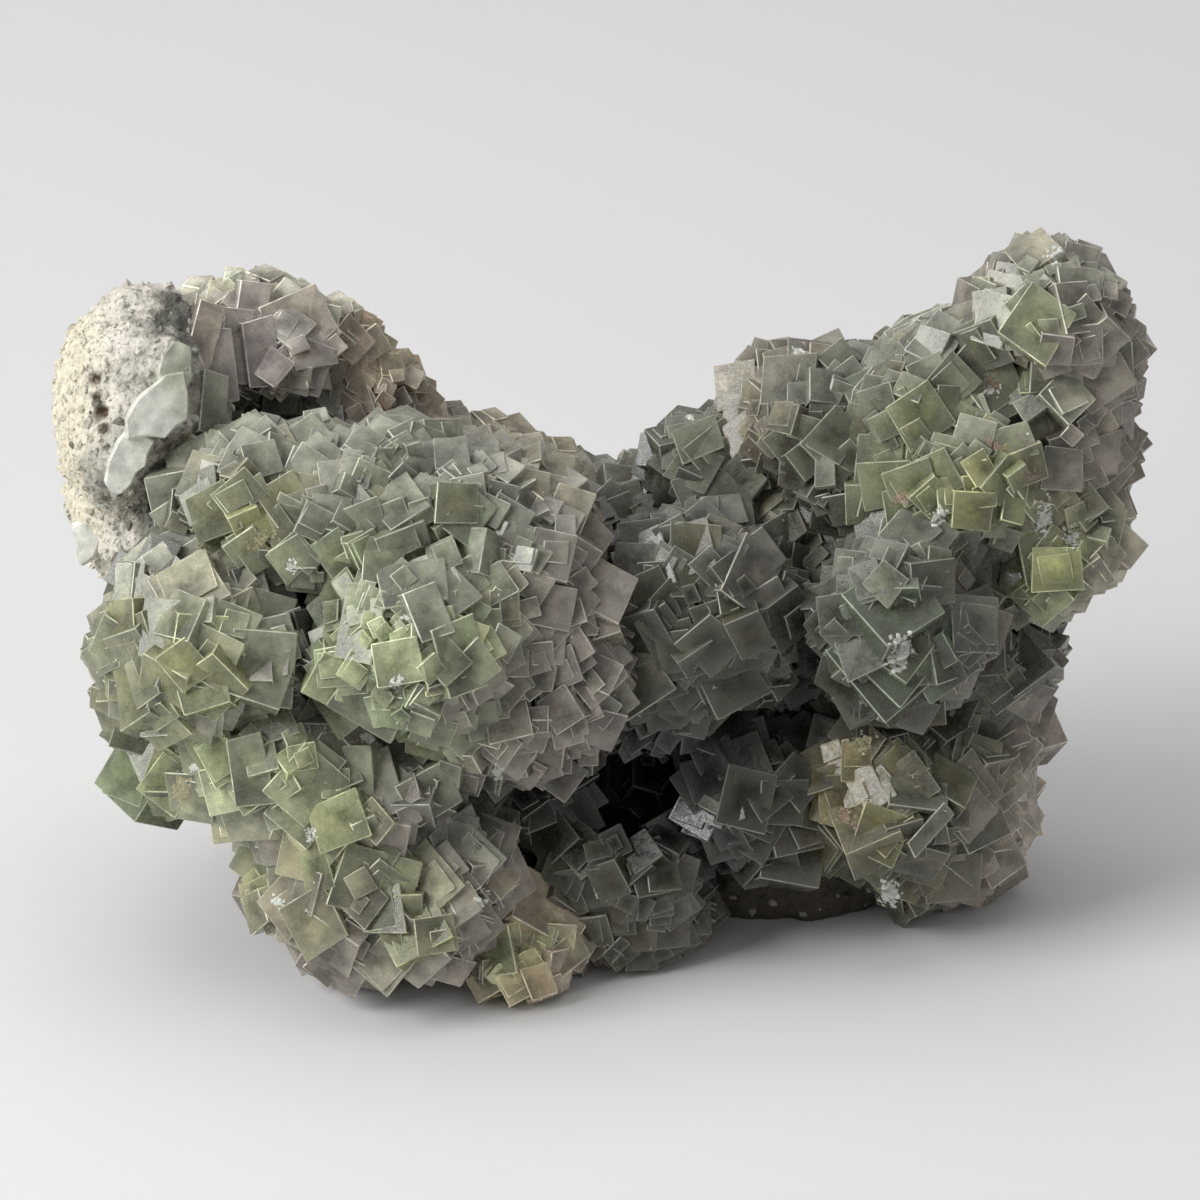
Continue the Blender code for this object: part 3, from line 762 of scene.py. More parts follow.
def plate_crystals(colours):
    """The large listed crystals, each half in its own tone and half in the skin's."""
    rows = []
    for plate in PLATES:
        spot, top, turn = picture_spot(*plate.at), facing(plate.swing, plate.nod), math.radians(plate.turn)
        first = square_to(RIGHT * math.cos(turn) + UP * math.sin(turn), top)
        halves = np.array(plate.size) * PLATE_HALF
        middle = spot + top * (plate.lift - PLATE_SINK - halves[2])
        tone = np.array(getattr(colours, plate.tone)) * plate.gain
        rows.append((middle, np.array([first, np.cross(top, first), top]), halves, tone, spot))
    middles, axes, halves, tones, spots = (np.array(column) for column in zip(*rows))
    around = skin_colours(spots, skin_normals(spots), colours, seeded("plate_tones"))
    return Crystals(middles, axes, halves, 0.5 * tones + 0.5 * around)


def as_mesh(shape, name):
    """A bmesh as a mesh of that name. The bmesh is freed."""
    mesh = bpy.data.meshes.new(name)
    shape.to_mesh(mesh)
    shape.free()
    return mesh


def set_points(mesh, drawn):
    """Moves a mesh's vertices to places drawn in millimetres."""
    mesh.vertices.foreach_set("co", placed(drawn).reshape(-1))
    mesh.update()


def paint(mesh, attribute, tones):
    """Gives each vertex of a mesh its own colour in an attribute."""
    rows = np.column_stack([tones, np.ones(len(tones))])
    mesh.attributes.new(attribute, "FLOAT_COLOR", "POINT").data.foreach_set("color", rows.reshape(-1))


def add_slab(shape, shard):
    """Adds a shard to the shape: its outline on its own plane, and again at its thickness behind."""
    top = facing(shard.swing, shard.nod)
    spot = picture_spot(*np.mean(shard.outline, axis=0)) + top * shard.lift
    front = []
    for across, up in shard.outline:
        flat = RIGHT * across + UP * up
        front.append(flat + TOWARDS * np.dot(spot - flat, top) / np.dot(TOWARDS, top))
    rings = []
    for depth in (0, shard.thickness):
        rings.append([shape.verts.new((Vector(place - top * depth) + MOVE) * MM) for place in front])
    faces = [shape.faces.new(rings[0]), shape.faces.new(rings[1][::-1])]
    for i, corner in enumerate(rings[0]):
        faces.append(shape.faces.new((rings[0][i - 1], rings[1][i - 1], rings[1][i], corner)))
    bmesh.ops.recalc_face_normals(shape, faces=faces)


def shard_mesh(colours):
    """The broken plates on the dome as one mesh, with worn edges and slightly wavy faces."""
    shape = bmesh.new()
    for shard in SHARDS:
        add_slab(shape, shard)
    bmesh.ops.bevel(shape, geom=shape.edges[:], offset=SHARD_EDGE, segments=1, affect="EDGES", clamp_overlap=True)
    bmesh.ops.triangulate(shape, faces=shape.faces[:])
    for _ in range(3):
        long = [edge for edge in shape.edges if edge.calc_length() > SHARD_GRAIN]
        bmesh.ops.subdivide_edges(shape, edges=long, cuts=1)
        bmesh.ops.triangulate(shape, faces=shape.faces[:])
    mesh = as_mesh(shape, "dome_shards")
    points, normals = vertex_rows(mesh)
    drawn = drawn_from(points)
    drawn = drawn + normals * (0.28 * patches(drawn, 2.6, 2.0))[:, None]
    set_points(mesh, drawn)
    green = smooth_step(drawn @ RIGHT + 0.5 * (drawn @ UP), -26.0, -19.0) + 0.6 * patches(drawn, 2.4, 8.0)
    tones = blended(np.array(colours.glass), colours.lime, np.clip(0.55 * green, 0, 0.55))
    paint(mesh, "crystal_colour", tones * (1 + 0.3 * patches(drawn, 1.7, 1.0))[:, None])
    return mesh


def splinter_places(colours, pieces):
    """Places, normals, widths and colours of the flakes that lie on the crystals."""
    trees = []
    for piece in pieces:
        shape = bmesh.new()
        shape.from_mesh(piece.data)
        trees.append(BVHTree.FromBMesh(shape))
        shape.free()
    rows = []
    for i, ((across, up), radius, count, width, tone) in enumerate(SPLINTERS):
        draw = seeded("splinters%d" % i)
        turn, long = draw.uniform(0, math.pi), draw.uniform(0.45, 0.8)
        for _ in range(count):
            along, aside = draw.normal(scale=0.42 * radius, size=2) * (long, 0.26 / long)
            right = across + along * math.cos(turn) - aside * math.sin(turn)
            high = up + along * math.sin(turn) + aside * math.cos(turn)
            start = RIGHT * right + UP * high + TOWARDS * RAY_START + np.array(MOVE)
            hits = [tree.ray_cast(Vector(start) * MM, Vector(-TOWARDS)) for tree in trees]
            hits = [hit for hit in hits if hit[0] is not None]
            if hits:
                place, normal, _, _ = min(hits, key=lambda hit: hit[3])
                shade = np.array(getattr(colours, tone)) * draw.uniform(0.7, 1.1)
                flake = width * draw.uniform(0.2, 1.3)
                rows.append((drawn_from(np.array(place)), np.array(normal), flake, shade))
    return [np.array(column) for column in zip(*rows)]


def crystal_axes(normals, hearts, spins, leans, draw):
    """Three axes for each crystal, the last out of its top face.

    Its top face lies between the skin and the heart's face, so that its outer corner stands
    free like a shingle's, and it leans a little any way. Near the heart, where no way is
    outwards, the crystals are turned alike.
    """
    away = np.arccos(np.clip(np.sum(normals * hearts, axis=1), -1, 1))
    behind = smooth_step(away, 1.5, 2.6)
    pull = (HEART_PULL - (HEART_PULL - HEART_PULL_BEHIND) * behind)[:, None]
    faces = unit(normals * (1 - pull) + hearts * pull)
    way = square_to(draw.normal(size=faces.shape), faces)
    top = unit(faces * np.cos(leans)[:, None] + way * np.sin(leans)[:, None])
    out = normals - hearts * np.sum(normals * hearts, axis=1, keepdims=True)
    alike = np.cross(hearts, np.array([0.3, 0.5, 1.0]))
    out = square_to(np.where((away < 0.55)[:, None], alike, out), top)
    turn = (spins - math.pi / 4)[:, None]
    first = out * np.cos(turn) + np.cross(top, out) * np.sin(turn)
    return np.stack([first, np.cross(top, first), top], axis=1)


SIGNS = [(x, y, z) for x in (-1, 1) for y in (-1, 1) for z in (-1, 1)]

# A face's corners in order, and the place past the border that marks a worn edge
SQUARE = [(-1, -1), (1, -1), (1, 1), (-1, 1)]
WORN = (1.5, 1.5)


def cube_pattern():
    """The corners and faces of one cube with worn edges.

    A corner is given by the axis whose face it lies on and three signs. Each face also has
    its place on the crystal's own face, -1 to 1, for the pattern that follows the edges.
    """
    corners = [(axis, signs) for axis in range(3) for signs in SIGNS]
    index = {corner: i for i, corner in enumerate(corners)}

    def corner_at(on, axes, signs):
        return index[on, tuple(sign for _, sign in sorted(zip(axes, signs)))]

    faces = []
    for axis in range(3):
        one, two = [a for a in range(3) if a != axis]
        axes = (axis, one, two)
        for sign in (-1, 1):
            faces.append(([corner_at(axis, axes, (sign, *place)) for place in SQUARE], SQUARE))
        for s1 in (-1, 1):
            for s2 in (-1, 1):
                around = ((one, -1), (one, 1), (two, 1), (two, -1))
                faces.append(([corner_at(on, axes, (along, s1, s2)) for on, along in around], [WORN] * 4))
    for signs in SIGNS:
        faces.append(([index[axis, signs] for axis in range(3)], [WORN] * 3))
    places = np.array([[s * (1.0 if i == axis else 0.8) for i, s in enumerate(signs)] for axis, signs in corners])
    outward = []
    for ring, face_places in faces:
        a, b, c = places[ring[0]], places[ring[1]], places[ring[2]]
        if np.dot(np.cross(b - a, c - a), places[ring].mean(axis=0)) < 0:
            ring, face_places = ring[::-1], face_places[::-1]
        outward.append((ring, face_places))
    return corners, outward


CORNERS, FACES = cube_pattern()


class Crystals(NamedTuple):
    """Many crystals at once, in millimetres: middles, axes, half sizes and colours."""

    middles: np.ndarray
    axes: np.ndarray
    halves: np.ndarray
    colours: np.ndarray


def joined(groups):
    """Several groups of crystals as one."""
    return Crystals(*(np.concatenate(rows) for rows in zip(*groups)))


def chosen(crystals, which):
    """Some of the crystals."""
    return Crystals(*(rows[which] for rows in crystals))


def crystal_mesh(name, crystals, edge, draw):
    """One mesh of cubes with worn edges, each a little out of square, with its own colour and face places."""
    count = len(crystals.middles)
    signs = np.array([corner_signs for _, corner_signs in CORNERS], float)
    on_axis = np.eye(3)[[axis for axis, _ in CORNERS]]
    inset = np.minimum(edge, 0.12 * crystals.halves.min(axis=1))
    local = signs[None] * (crystals.halves[:, None, :] - inset[:, None, None] * (1 - on_axis[None]))
    corner = np.array([SIGNS.index(corner_signs) for _, corner_signs in CORNERS])
    skew = draw.uniform(-SKEW, SKEW, size=(count, 8, 3)) * crystals.halves[:, None, :] * (1.0, 1.0, 0.4)
    local = local + skew[:, corner]
    points = crystals.middles[:, None, :] + np.einsum("nvk,nkj->nvj", local, crystals.axes)
    points = placed(points.reshape(-1, 3))
    points[:, 2] = np.maximum(points[:, 2], 0.0)
    ring = np.concatenate([ring for ring, _ in FACES])
    loops = (ring[None] + len(CORNERS) * np.arange(count)[:, None]).reshape(-1)
    totals = np.tile([len(ring) for ring, _ in FACES], count)
    starts = np.concatenate([[0], np.cumsum(totals)[:-1]])
    worn = np.tile([int(face_places[0] == WORN) for _, face_places in FACES], count)
    mesh = bpy.data.meshes.new(name)
    mesh.vertices.add(len(points))
    mesh.vertices.foreach_set("co", points.reshape(-1))
    mesh.loops.add(len(loops))
    mesh.loops.foreach_set("vertex_index", loops.astype(np.int32))
    mesh.polygons.add(len(totals))
    for key, values in (("loop_start", starts), ("loop_total", totals), ("material_index", worn)):
        mesh.polygons.foreach_set(key, values.astype(np.int32))
    places = np.concatenate([np.array(face_places, float) for _, face_places in FACES])
    uv = mesh.uv_layers.new(name="face_place")
    uv.data.foreach_set("uv", np.tile(places, (count, 1)).reshape(-1))
    paint(mesh, "crystal_colour", np.repeat(crystals.colours, len(CORNERS), axis=0))
    # painted shade and light: a face is darker at the corner that goes in under its neighbours and paler at its free
    # corner
    free = [0.5 + 0.25 * (x + y) if axis == 2 else 0.4 + 0.4 * z for axis, (x, y, z) in CORNERS]
    free_corner = mesh.attributes.new("free_corner", "FLOAT", "POINT")
    free_corner.data.foreach_set("value", np.tile(free, count))
    mesh.update(calc_edges=True)
    mesh.validate()
    mesh.shade_flat()
    return mesh


def open_air(spots, normals):
    """How open the air is in front of each place, from 0 in a crevice to 1, used to paint shade into crevices and
    recesses.
    """
    air = 0.0
    for way in (normals, unit(normals + TOWARDS), unit(normals - 0.6 * RIGHT)):
        for far in (4.0, 9.0, 17.0):
            air = air + smooth_step(skin_height(spots + way * far), 0.1 * far, 0.85 * far) / 9
    # painted shade: the recesses are made darker still
    for centre, radius in RECESSES:
        near = 1 - smooth_step(np.linalg.norm(spots - np.array(centre), axis=1) / radius, 0.9, 1.6)
        air = air * (1 - 0.9 * near)
    return air


def skin_colours(spots, normals, colours, draw):
    """Colour on the skin: hearts of lobes and their rims, painted light on upward faces, painted shade tinting the
    right and lower sides grey-violet, and painted shade in crevices.
    """
    heights = lobe_heights(spots)
    weights = np.exp(-(heights - heights.min(axis=1, keepdims=True)) / 2.2)
    weights /= weights.sum(axis=1, keepdims=True)
    away = np.arccos(np.clip(normals @ HEARTS.T, -1, 1)) + 0.35 * patches(spots, 6.0, 3.0)[:, None]
    to_rim = smooth_step(away, 0.0, 1.1)
    hearts = np.array([getattr(colours, lobe.heart) for lobe in LOBES])
    rims = np.array([getattr(colours, lobe.rim) for lobe in LOBES])
    mixed = (weights * (1 - to_rim)) @ hearts + (weights * to_rim) @ rims
    rim_share = (weights * to_rim).sum(axis=1)
    # painted light: faces turned upwards are paled to pale grey, as light from above falls on them
    up = 0.6 * smooth_step(normals[:, 2], 0.35, 0.95) * (0.4 + 0.6 * rim_share)
    # painted shade: faces turned right and down, away from the key light, are tinted grey-violet like shaded sides
    side = 0.75 * smooth_step(normals[:, 0] - 0.5 * normals[:, 2], 0.15, 0.85) * rim_share
    mixed = blended(blended(mixed, colours.mauve, side), colours.frost_and_top_light, up)
    mixed = mixed * (1 + 0.22 * patches(spots, 9.0, 7.0))[:, None]
    # painted shade: the skin darkens where little air lies in front of it, in crevices and recesses
    mixed = mixed * (0.1 + open_air(spots, normals))[:, None]
    count = len(spots)
    kind = draw.uniform(size=(count, 1))
    for low, high, tint in ((0.0, 0.16, colours.teal), (0.16, 0.28, colours.frost_and_top_light), (0.28, 0.38, colours.ochre)):
        as_bright = np.array(tint) * (mixed.mean(axis=1, keepdims=True) / np.mean(tint))
        mixed = blended(mixed, as_bright, 0.2 * ((kind >= low) & (kind < high)))
    # painted light and shade: each lobe's gain, low on the lobes in shadow
    gains = weights @ np.array([lobe.gain for lobe in LOBES])
    return mixed * gains[:, None] * (1 + draw.uniform(-TONE_SPREAD, TONE_SPREAD, (count, 1)))


def grown_crystals(spots, normals, widths, rises, lean, colours, draw):
    """Crystals for places on the skin, all above the floor, and the lobe that each stands on."""
    count = len(spots)
    nearest = np.argmin(lobe_heights(spots), axis=1)
    spins = draw.normal(scale=SPIN_SPREAD, size=count)
    leans = np.minimum(np.abs(draw.normal(scale=LEAN_SPREAD, size=count)), 1.0) * lean
    axes = crystal_axes(normals, HEARTS[nearest], spins, leans, draw)
    shapes = [np.ones(count), draw.uniform(*SECOND_SIDE, count), draw.uniform(*THICKNESS, count)]
    halves = np.stack(shapes, axis=1) * widths[:, None] / 2
    middles = spots + normals * rises[:, None] - axes[:, 2] * halves[:, 2:3]
    sunk = 0.2 - (middles[:, 2] - np.sum(np.abs(axes[:, :, 2]) * halves, axis=1))
    middles[:, 2] += np.maximum(sunk, 0)
    stands = sunk < 3.0
    grown = Crystals(middles, axes, halves, skin_colours(spots, normals, colours, draw))
    return chosen(grown, stands), nearest[stands]


def stepped(crystals, nearest, draw):
    """The crystals, and on some of the wide ones a smaller one grown out of the face, nearly square with it."""
    carries = draw.uniform(size=len(nearest)) < STEP_SHARE
    wide = np.flatnonzero((crystals.halves[:, 0] > STEP_WIDTH) & carries)
    middles, axes, halves, tones = chosen(crystals, wide)
    count = len(wide)
    turn = np.radians(draw.normal(scale=7.0, size=(count, 1)))
    first = axes[:, 0] * np.cos(turn) + axes[:, 1] * np.sin(turn)
    top = unit(axes[:, 2] + 0.09 * draw.normal(size=(count, 3)))
    first = square_to(first, top)
    small = halves * (draw.uniform(*STEP_SIZES, (count, 1)) * draw.uniform(0.85, 1.15, (count, 3)))
    out = (axes[:, 0] + axes[:, 1]) * (halves[:, :1] - small[:, :1]) * draw.uniform(-0.2, 1.0, (count, 1))
    rise = halves[:, 2:] - small[:, 2:] + draw.uniform(0.1, 0.4, (count, 1))
    small_axes = np.stack([first, np.cross(top, first), top], axis=1)
    small_tones = tones * draw.uniform(*STEP_TONES, (count, 1))
    grown = Crystals(middles + out + axes[:, 2] * rise, small_axes, small, small_tones)
    return joined([crystals, grown]), np.concatenate([nearest, nearest[wide]])


def grain_mesh(name, spots, widths, colours, draw, normals=None):
    """Many irregular little grains as one mesh, each with its own colour, flattened along the normals if given."""
    pattern = bmesh.new()
    bmesh.ops.create_icosphere(pattern, subdivisions=1, radius=1.0)
    corners = np.array([vertex.co for vertex in pattern.verts])
    faces = np.array([[vertex.index for vertex in face.verts] for face in pattern.faces])
    pattern.free()
    count = len(spots)
    shapes = corners[None] * draw.uniform(0.6, 1.25, (count, len(corners), 1)) * draw.uniform(0.7, 1.3, (count, 1, 3))
    if normals is not None:
        along = normals[:, None, :]
        shapes = shapes - 0.75 * np.sum(shapes * along, axis=2, keepdims=True) * along
    points = placed((spots[:, None, :] + shapes * widths[:, None, None] / 2).reshape(-1, 3))
    points[:, 2] = np.maximum(points[:, 2], 0.0)
    faces = (faces[None] + len(corners) * np.arange(count)[:, None, None]).reshape(-1, 3)
    mesh = bpy.data.meshes.new(name)
    mesh.from_pydata(points.tolist(), [], faces.tolist())
    paint(mesh, "grain_colour", np.repeat(colours, len(corners), axis=0))
    return mesh


def add_piece(name, mesh, materials):
    """An object for the mesh that rides on the specimen and takes the slot's finish."""
    piece = bpy.data.objects.new(name, mesh)
    bpy.context.scene.collection.objects.link(piece)
    for material in materials:
        mesh.materials.append(material)
    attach(piece, "root")
    return piece


def melted(name, lumps, inset, voxel):
    """Ellipsoids melted into one fine rounded mesh."""
    shape = bmesh.new()
    for at, radii in lumps:
        place = Matrix.Translation((Vector(at) + MOVE) * MM)
        size = Matrix.Diagonal((*((r - inset) * MM for r in radii), 1.0))
        bmesh.ops.create_icosphere(shape, subdivisions=5, radius=1.0, matrix=place @ size)
    helper = bpy.data.objects.new(name + "_helper", as_mesh(shape, name))
    bpy.context.scene.collection.objects.link(helper)
    remesh = helper.modifiers.new("melt", "REMESH")
    remesh.mode = "VOXEL"
    remesh.voxel_size = voxel
    bpy.context.view_layer.update()
    fine = bpy.data.meshes.new_from_object(helper.evaluated_get(bpy.context.evaluated_depsgraph_get()))
    bpy.data.objects.remove(helper)
    fine.name = name
    return fine


def vertex_rows(mesh):
    """A mesh's vertices and normals as rows."""
    points = np.empty(len(mesh.vertices) * 3)
    mesh.vertices.foreach_get("co", points)
    normals = np.empty(len(mesh.vertices) * 3)
    mesh.vertices.foreach_get("normal", normals)
    return points.reshape(-1, 3), normals.reshape(-1, 3)


def add_node(tree, kind, **settings):
    """A shader node with its settings. `inputs` holds the values of inputs that nothing is linked to."""
    node = tree.nodes.new(kind)
    for key, value in settings.pop("inputs", {}).items():
        node.inputs[key].default_value = value
    for key, value in settings.items():
        setattr(node, key, value)
    return node


def new_material(name):
    """A material with its Principled shader, ready for nodes."""
    material = bpy.data.materials.new(name)
    material.use_nodes = True
    return material, material.node_tree, material.node_tree.nodes["Principled BSDF"]


def feed(tree, value, socket):
    """Links a source to a socket, or sets the socket to a number or a colour."""
    if isinstance(value, bpy.types.NodeSocket):
        tree.links.new(value, socket)
    else:
        socket.default_value = value


def opaque(colour):
    """A colour with its alpha."""
    return (*colour, 1.0)


def held(tree, attribute, output="Color"):
    """What the mesh holds in an attribute."""
    return add_node(tree, "ShaderNodeAttribute", attribute_name=attribute).outputs[output]


def ramp(tree, source, low, high, to_low, to_high):
    """The source's value carried from one range to another."""
    inputs = {"From Min": low, "From Max": high, "To Min": to_low, "To Max": to_high}
    node = add_node(tree, "ShaderNodeMapRange", inputs=inputs)
    feed(tree, source, node.inputs["Value"])
    return node.outputs[0]


def sums(tree, operation, *values):
    """A Math node on sources or numbers."""
    node = add_node(tree, "ShaderNodeMath", operation=operation)
    for value, socket in zip(values, node.inputs):
        feed(tree, value, socket)
    return node.outputs[0]


def scaled(tree, colour, factor):
    """A colour times a changing factor."""
    node = add_node(tree, "ShaderNodeVectorMath", operation="SCALE")
    tree.links.new(colour, node.inputs[0])
    tree.links.new(factor, node.inputs["Scale"])
    return node.outputs[0]


def mixed_colour(tree, share, first, second):
    """Two colours mixed by a share."""
    node = add_node(tree, "ShaderNodeMix", data_type="RGBA")
    for value, name in ((share, "Factor"), (first, "A"), (second, "B")):
        feed(tree, value, node.inputs[name])
    return node.outputs["Result"]


def on_object(tree, kind, **inputs):
    """A texture on Object coordinates."""
    node = add_node(tree, kind, inputs=inputs)
    tree.links.new(add_node(tree, "ShaderNodeTexCoord").outputs["Object"], node.inputs["Vector"])
    return node


def noise_value(tree, scale, detail, roughness=0.6):
    """Noise on Object coordinates."""
    return on_object(tree, "ShaderNodeTexNoise", Scale=scale, Detail=detail, Roughness=roughness).outputs["Fac"]


def bumped(tree, shader, height, strength, distance):
    """Gives the shader a bump."""
    bump = add_node(tree, "ShaderNodeBump", inputs={"Strength": strength, "Distance": distance})
    tree.links.new(height, bump.inputs["Height"])
    tree.links.new(bump.outputs["Normal"], shader.inputs["Normal"])


def crystal_group():
    """Node group for a cube's face: clouds, a paler border, and the height of its growth steps."""
    group = bpy.data.node_groups.new("cube_face", "ShaderNodeTree")
    for way, name, kind in (
        ("INPUT", "Crystal Colour", "Color"),
        ("INPUT", "Border Colour", "Color"),
        ("OUTPUT", "Colour", "Color"),
        ("OUTPUT", "Roughness", "Float"),
        ("OUTPUT", "Height", "Float"),
    ):
        group.interface.new_socket(name, in_out=way, socket_type="NodeSocket" + kind)
    start = add_node(group, "NodeGroupInput")
    end = add_node(group, "NodeGroupOutput")
    place = add_node(group, "ShaderNodeUVMap", uv_map="face_place")
    size = add_node(group, "ShaderNodeVectorMath", operation="ABSOLUTE")
    group.links.new(place.outputs["UV"], size.inputs[0])
    parts = add_node(group, "ShaderNodeSeparateXYZ")
    group.links.new(size.outputs[0], parts.inputs[0])
    reach = sums(group, "MAXIMUM", parts.outputs["X"], parts.outputs["Y"])
    cloud = noise_value(group, 240.0, 3.0)
    fine = noise_value(group, 1500.0, 2.0)
    tone = sums(group, "MULTIPLY", ramp(group, cloud, 0.34, 0.66, 0.5, 1.34), ramp(group, fine, 0.3, 0.7, 0.94, 1.06))
    clouded = scaled(group, start.outputs["Crystal Colour"], tone)
    border = sums(group, "MAXIMUM", ramp(group, reach, 0.35, 1.0, 0.0, 0.36), ramp(group, reach, 0.93, 1.02, 0.0, 0.45))
    steps = sums(group, "SNAP", sums(group, "MULTIPLY_ADD", cloud, 0.25, reach), 0.17)
    height = sums(group, "MULTIPLY_ADD", steps, -0.6, sums(group, "MULTIPLY", fine, 0.14))
    feed(group, mixed_colour(group, border, clouded, start.outputs["Border Colour"]), end.inputs["Colour"])
    feed(group, ramp(group, fine, 0.3, 0.7, 0.1, 0.34), end.inputs["Roughness"])
    feed(group, height, end.inputs["Height"])
    return group


def crystal_material(colours, group):
    """Frosted see-through fluorite, with painted shade where a crystal goes in under the next and painted light at its
    free corner.
    """
    material, tree, shader = new_material("frosted_fluorite")
    # painted shade and light: the face's colour scaled from its covered to its free corner
    free = ramp(tree, held(tree, "free_corner", "Fac"), 0.0, 1.0, *FACE_SHADE_AND_LIGHT)
    shaded = scaled(tree, held(tree, "crystal_colour"), free)
    face = add_node(tree, "ShaderNodeGroup", node_tree=group)
    feed(tree, shaded, face.inputs["Crystal Colour"])
    feed(tree, mixed_colour(tree, 0.5, shaded, opaque(colours.edge)), face.inputs["Border Colour"])
    feed(tree, face.outputs["Colour"], shader.inputs["Base Color"])
    feed(tree, face.outputs["Roughness"], shader.inputs["Roughness"])
    bumped(tree, shader, face.outputs["Height"], 0.3, 0.0003)
    shader.inputs["IOR"].default_value = FLUORITE_IOR
    shader.inputs["Transmission Weight"].default_value = CRYSTAL_CLEARNESS
    return material


def edge_material(colours):
    """The worn edges of the cubes: here nearly white, there hardly paler than the faces."""
    material, tree, shader = new_material("worn_edges")
    wear = ramp(tree, noise_value(tree, 330.0, 4.0, 0.7), 0.44, 0.64, 0.0, 0.8)
    lit = scaled(tree, held(tree, "crystal_colour"), sums(tree, "MULTIPLY_ADD", wear, 1.7, 1.0))
    feed(tree, mixed_colour(tree, 0.2, lit, opaque(colours.edge)), shader.inputs["Base Color"])
    shader.inputs["Roughness"].default_value = 0.35
    return material


def splinter_material():
    """Small broken bits in their listed colours; the pale ones are partly painted glints."""
    material, tree, shader = new_material("splinters")
    feed(tree, held(tree, "grain_colour"), shader.inputs["Base Color"])
    shader.inputs["Roughness"].default_value = 0.3
    shader.inputs["IOR"].default_value = FLUORITE_IOR
    return material


def shard_material():
    """Clear broken fluorite with milky clouds."""
    material, tree, shader = new_material("clear_fluorite")
    cloud = noise_value(tree, 420.0, 4.0)
    tone = scaled(tree, held(tree, "crystal_colour"), ramp(tree, cloud, 0.3, 0.7, 0.7, 1.15))
    feed(tree, tone, shader.inputs["Base Color"])
    feed(tree, ramp(tree, cloud, 0.35, 0.65, 0.12, 0.45), shader.inputs["Roughness"])
    bumped(tree, shader, cloud, 0.4, 0.0004)
    shader.inputs["IOR"].default_value = FLUORITE_IOR
    shader.inputs["Transmission Weight"].default_value = SHARD_CLEARNESS
    return material


def core_material():
    """The clouded fluorite under the crystals; its dark clouds also paint the shade in the gaps between crystals."""
    material, tree, shader = new_material("clouded_fluorite")
    cloud = noise_value(tree, 260.0, 6.0, 0.65)
    # partly painted shade: the clouds darken the core, which shows in the gaps between crystals
    tone = scaled(tree, held(tree, "crystal_colour"), ramp(tree, cloud, 0.3, 0.7, 0.35, 1.0))
    feed(tree, tone, shader.inputs["Base Color"])
    bumped(tree, shader, cloud, 0.6, 0.0006)
    shader.inputs["Roughness"].default_value = 0.55
    return material


def rock_material(colours):
    """Granular rock in its own colours, with fine dark specks."""
    material, tree, shader = new_material("granular_rock")
    grain = on_object(tree, "ShaderNodeTexVoronoi", Scale=1500.0).outputs["Distance"]
    speck = noise_value(tree, 1100.0, 5.0, 0.8)
    cream = scaled(tree, held(tree, "grain_colour"), ramp(tree, grain, 0.0, 1.0, 0.78, 1.12))
    specked = mixed_colour(tree, ramp(tree, speck, 0.53, 0.63, 0.0, 0.8), cream, opaque(colours.speck))
    feed(tree, specked, shader.inputs["Base Color"])
    bumped(tree, shader, sums(tree, "MULTIPLY_ADD", grain, 0.6, speck), 0.8, 0.0004)
    shader.inputs["Roughness"].default_value = 0.7
    return material


def floor_material(colours):
    """Plain matt studio floor."""
    material, _, shader = new_material("studio_floor")
    shader.inputs["Base Color"].default_value = opaque(colours.floor)
    shader.inputs["Roughness"].default_value = 0.9
    return material


class FLUORITE_OT_crystal_mass(Operator):
    """The clouded body that shows between and through the crystals"""

    bl_idname = "fluorite.crystal_mass"
    bl_label = "Crystal Mass"

    def execute(self, context):
        sizes, colours = context.scene.fluorite_sizes, context.scene.fluorite_colours
        mesh = melted("crystal_mass", [(lobe.at, lobe.radii) for lobe in LOBES], 1.0, 0.0012)
        points, _ = vertex_rows(mesh)
        drawn, normals = onto_skin(drawn_from(points), -sizes.inset / MM)
        for centre, radius in RECESSES:
            push = np.maximum(0, radius + 1.0 - np.linalg.norm(drawn - np.array(centre), axis=1))
            drawn = drawn - TOWARDS * (1.4 * push)[:, None]
        paint(mesh, "crystal_colour", 0.95 * skin_colours(drawn, normals, colours, seeded("crystal_mass")))
        drawn[:, 2] = np.maximum(drawn[:, 2], 0.2)
        set_points(mesh, drawn)
        piece = add_piece("crystal_mass", mesh, [core_material()])
        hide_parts("fluorite_crystals")
        return {"FINISHED"}


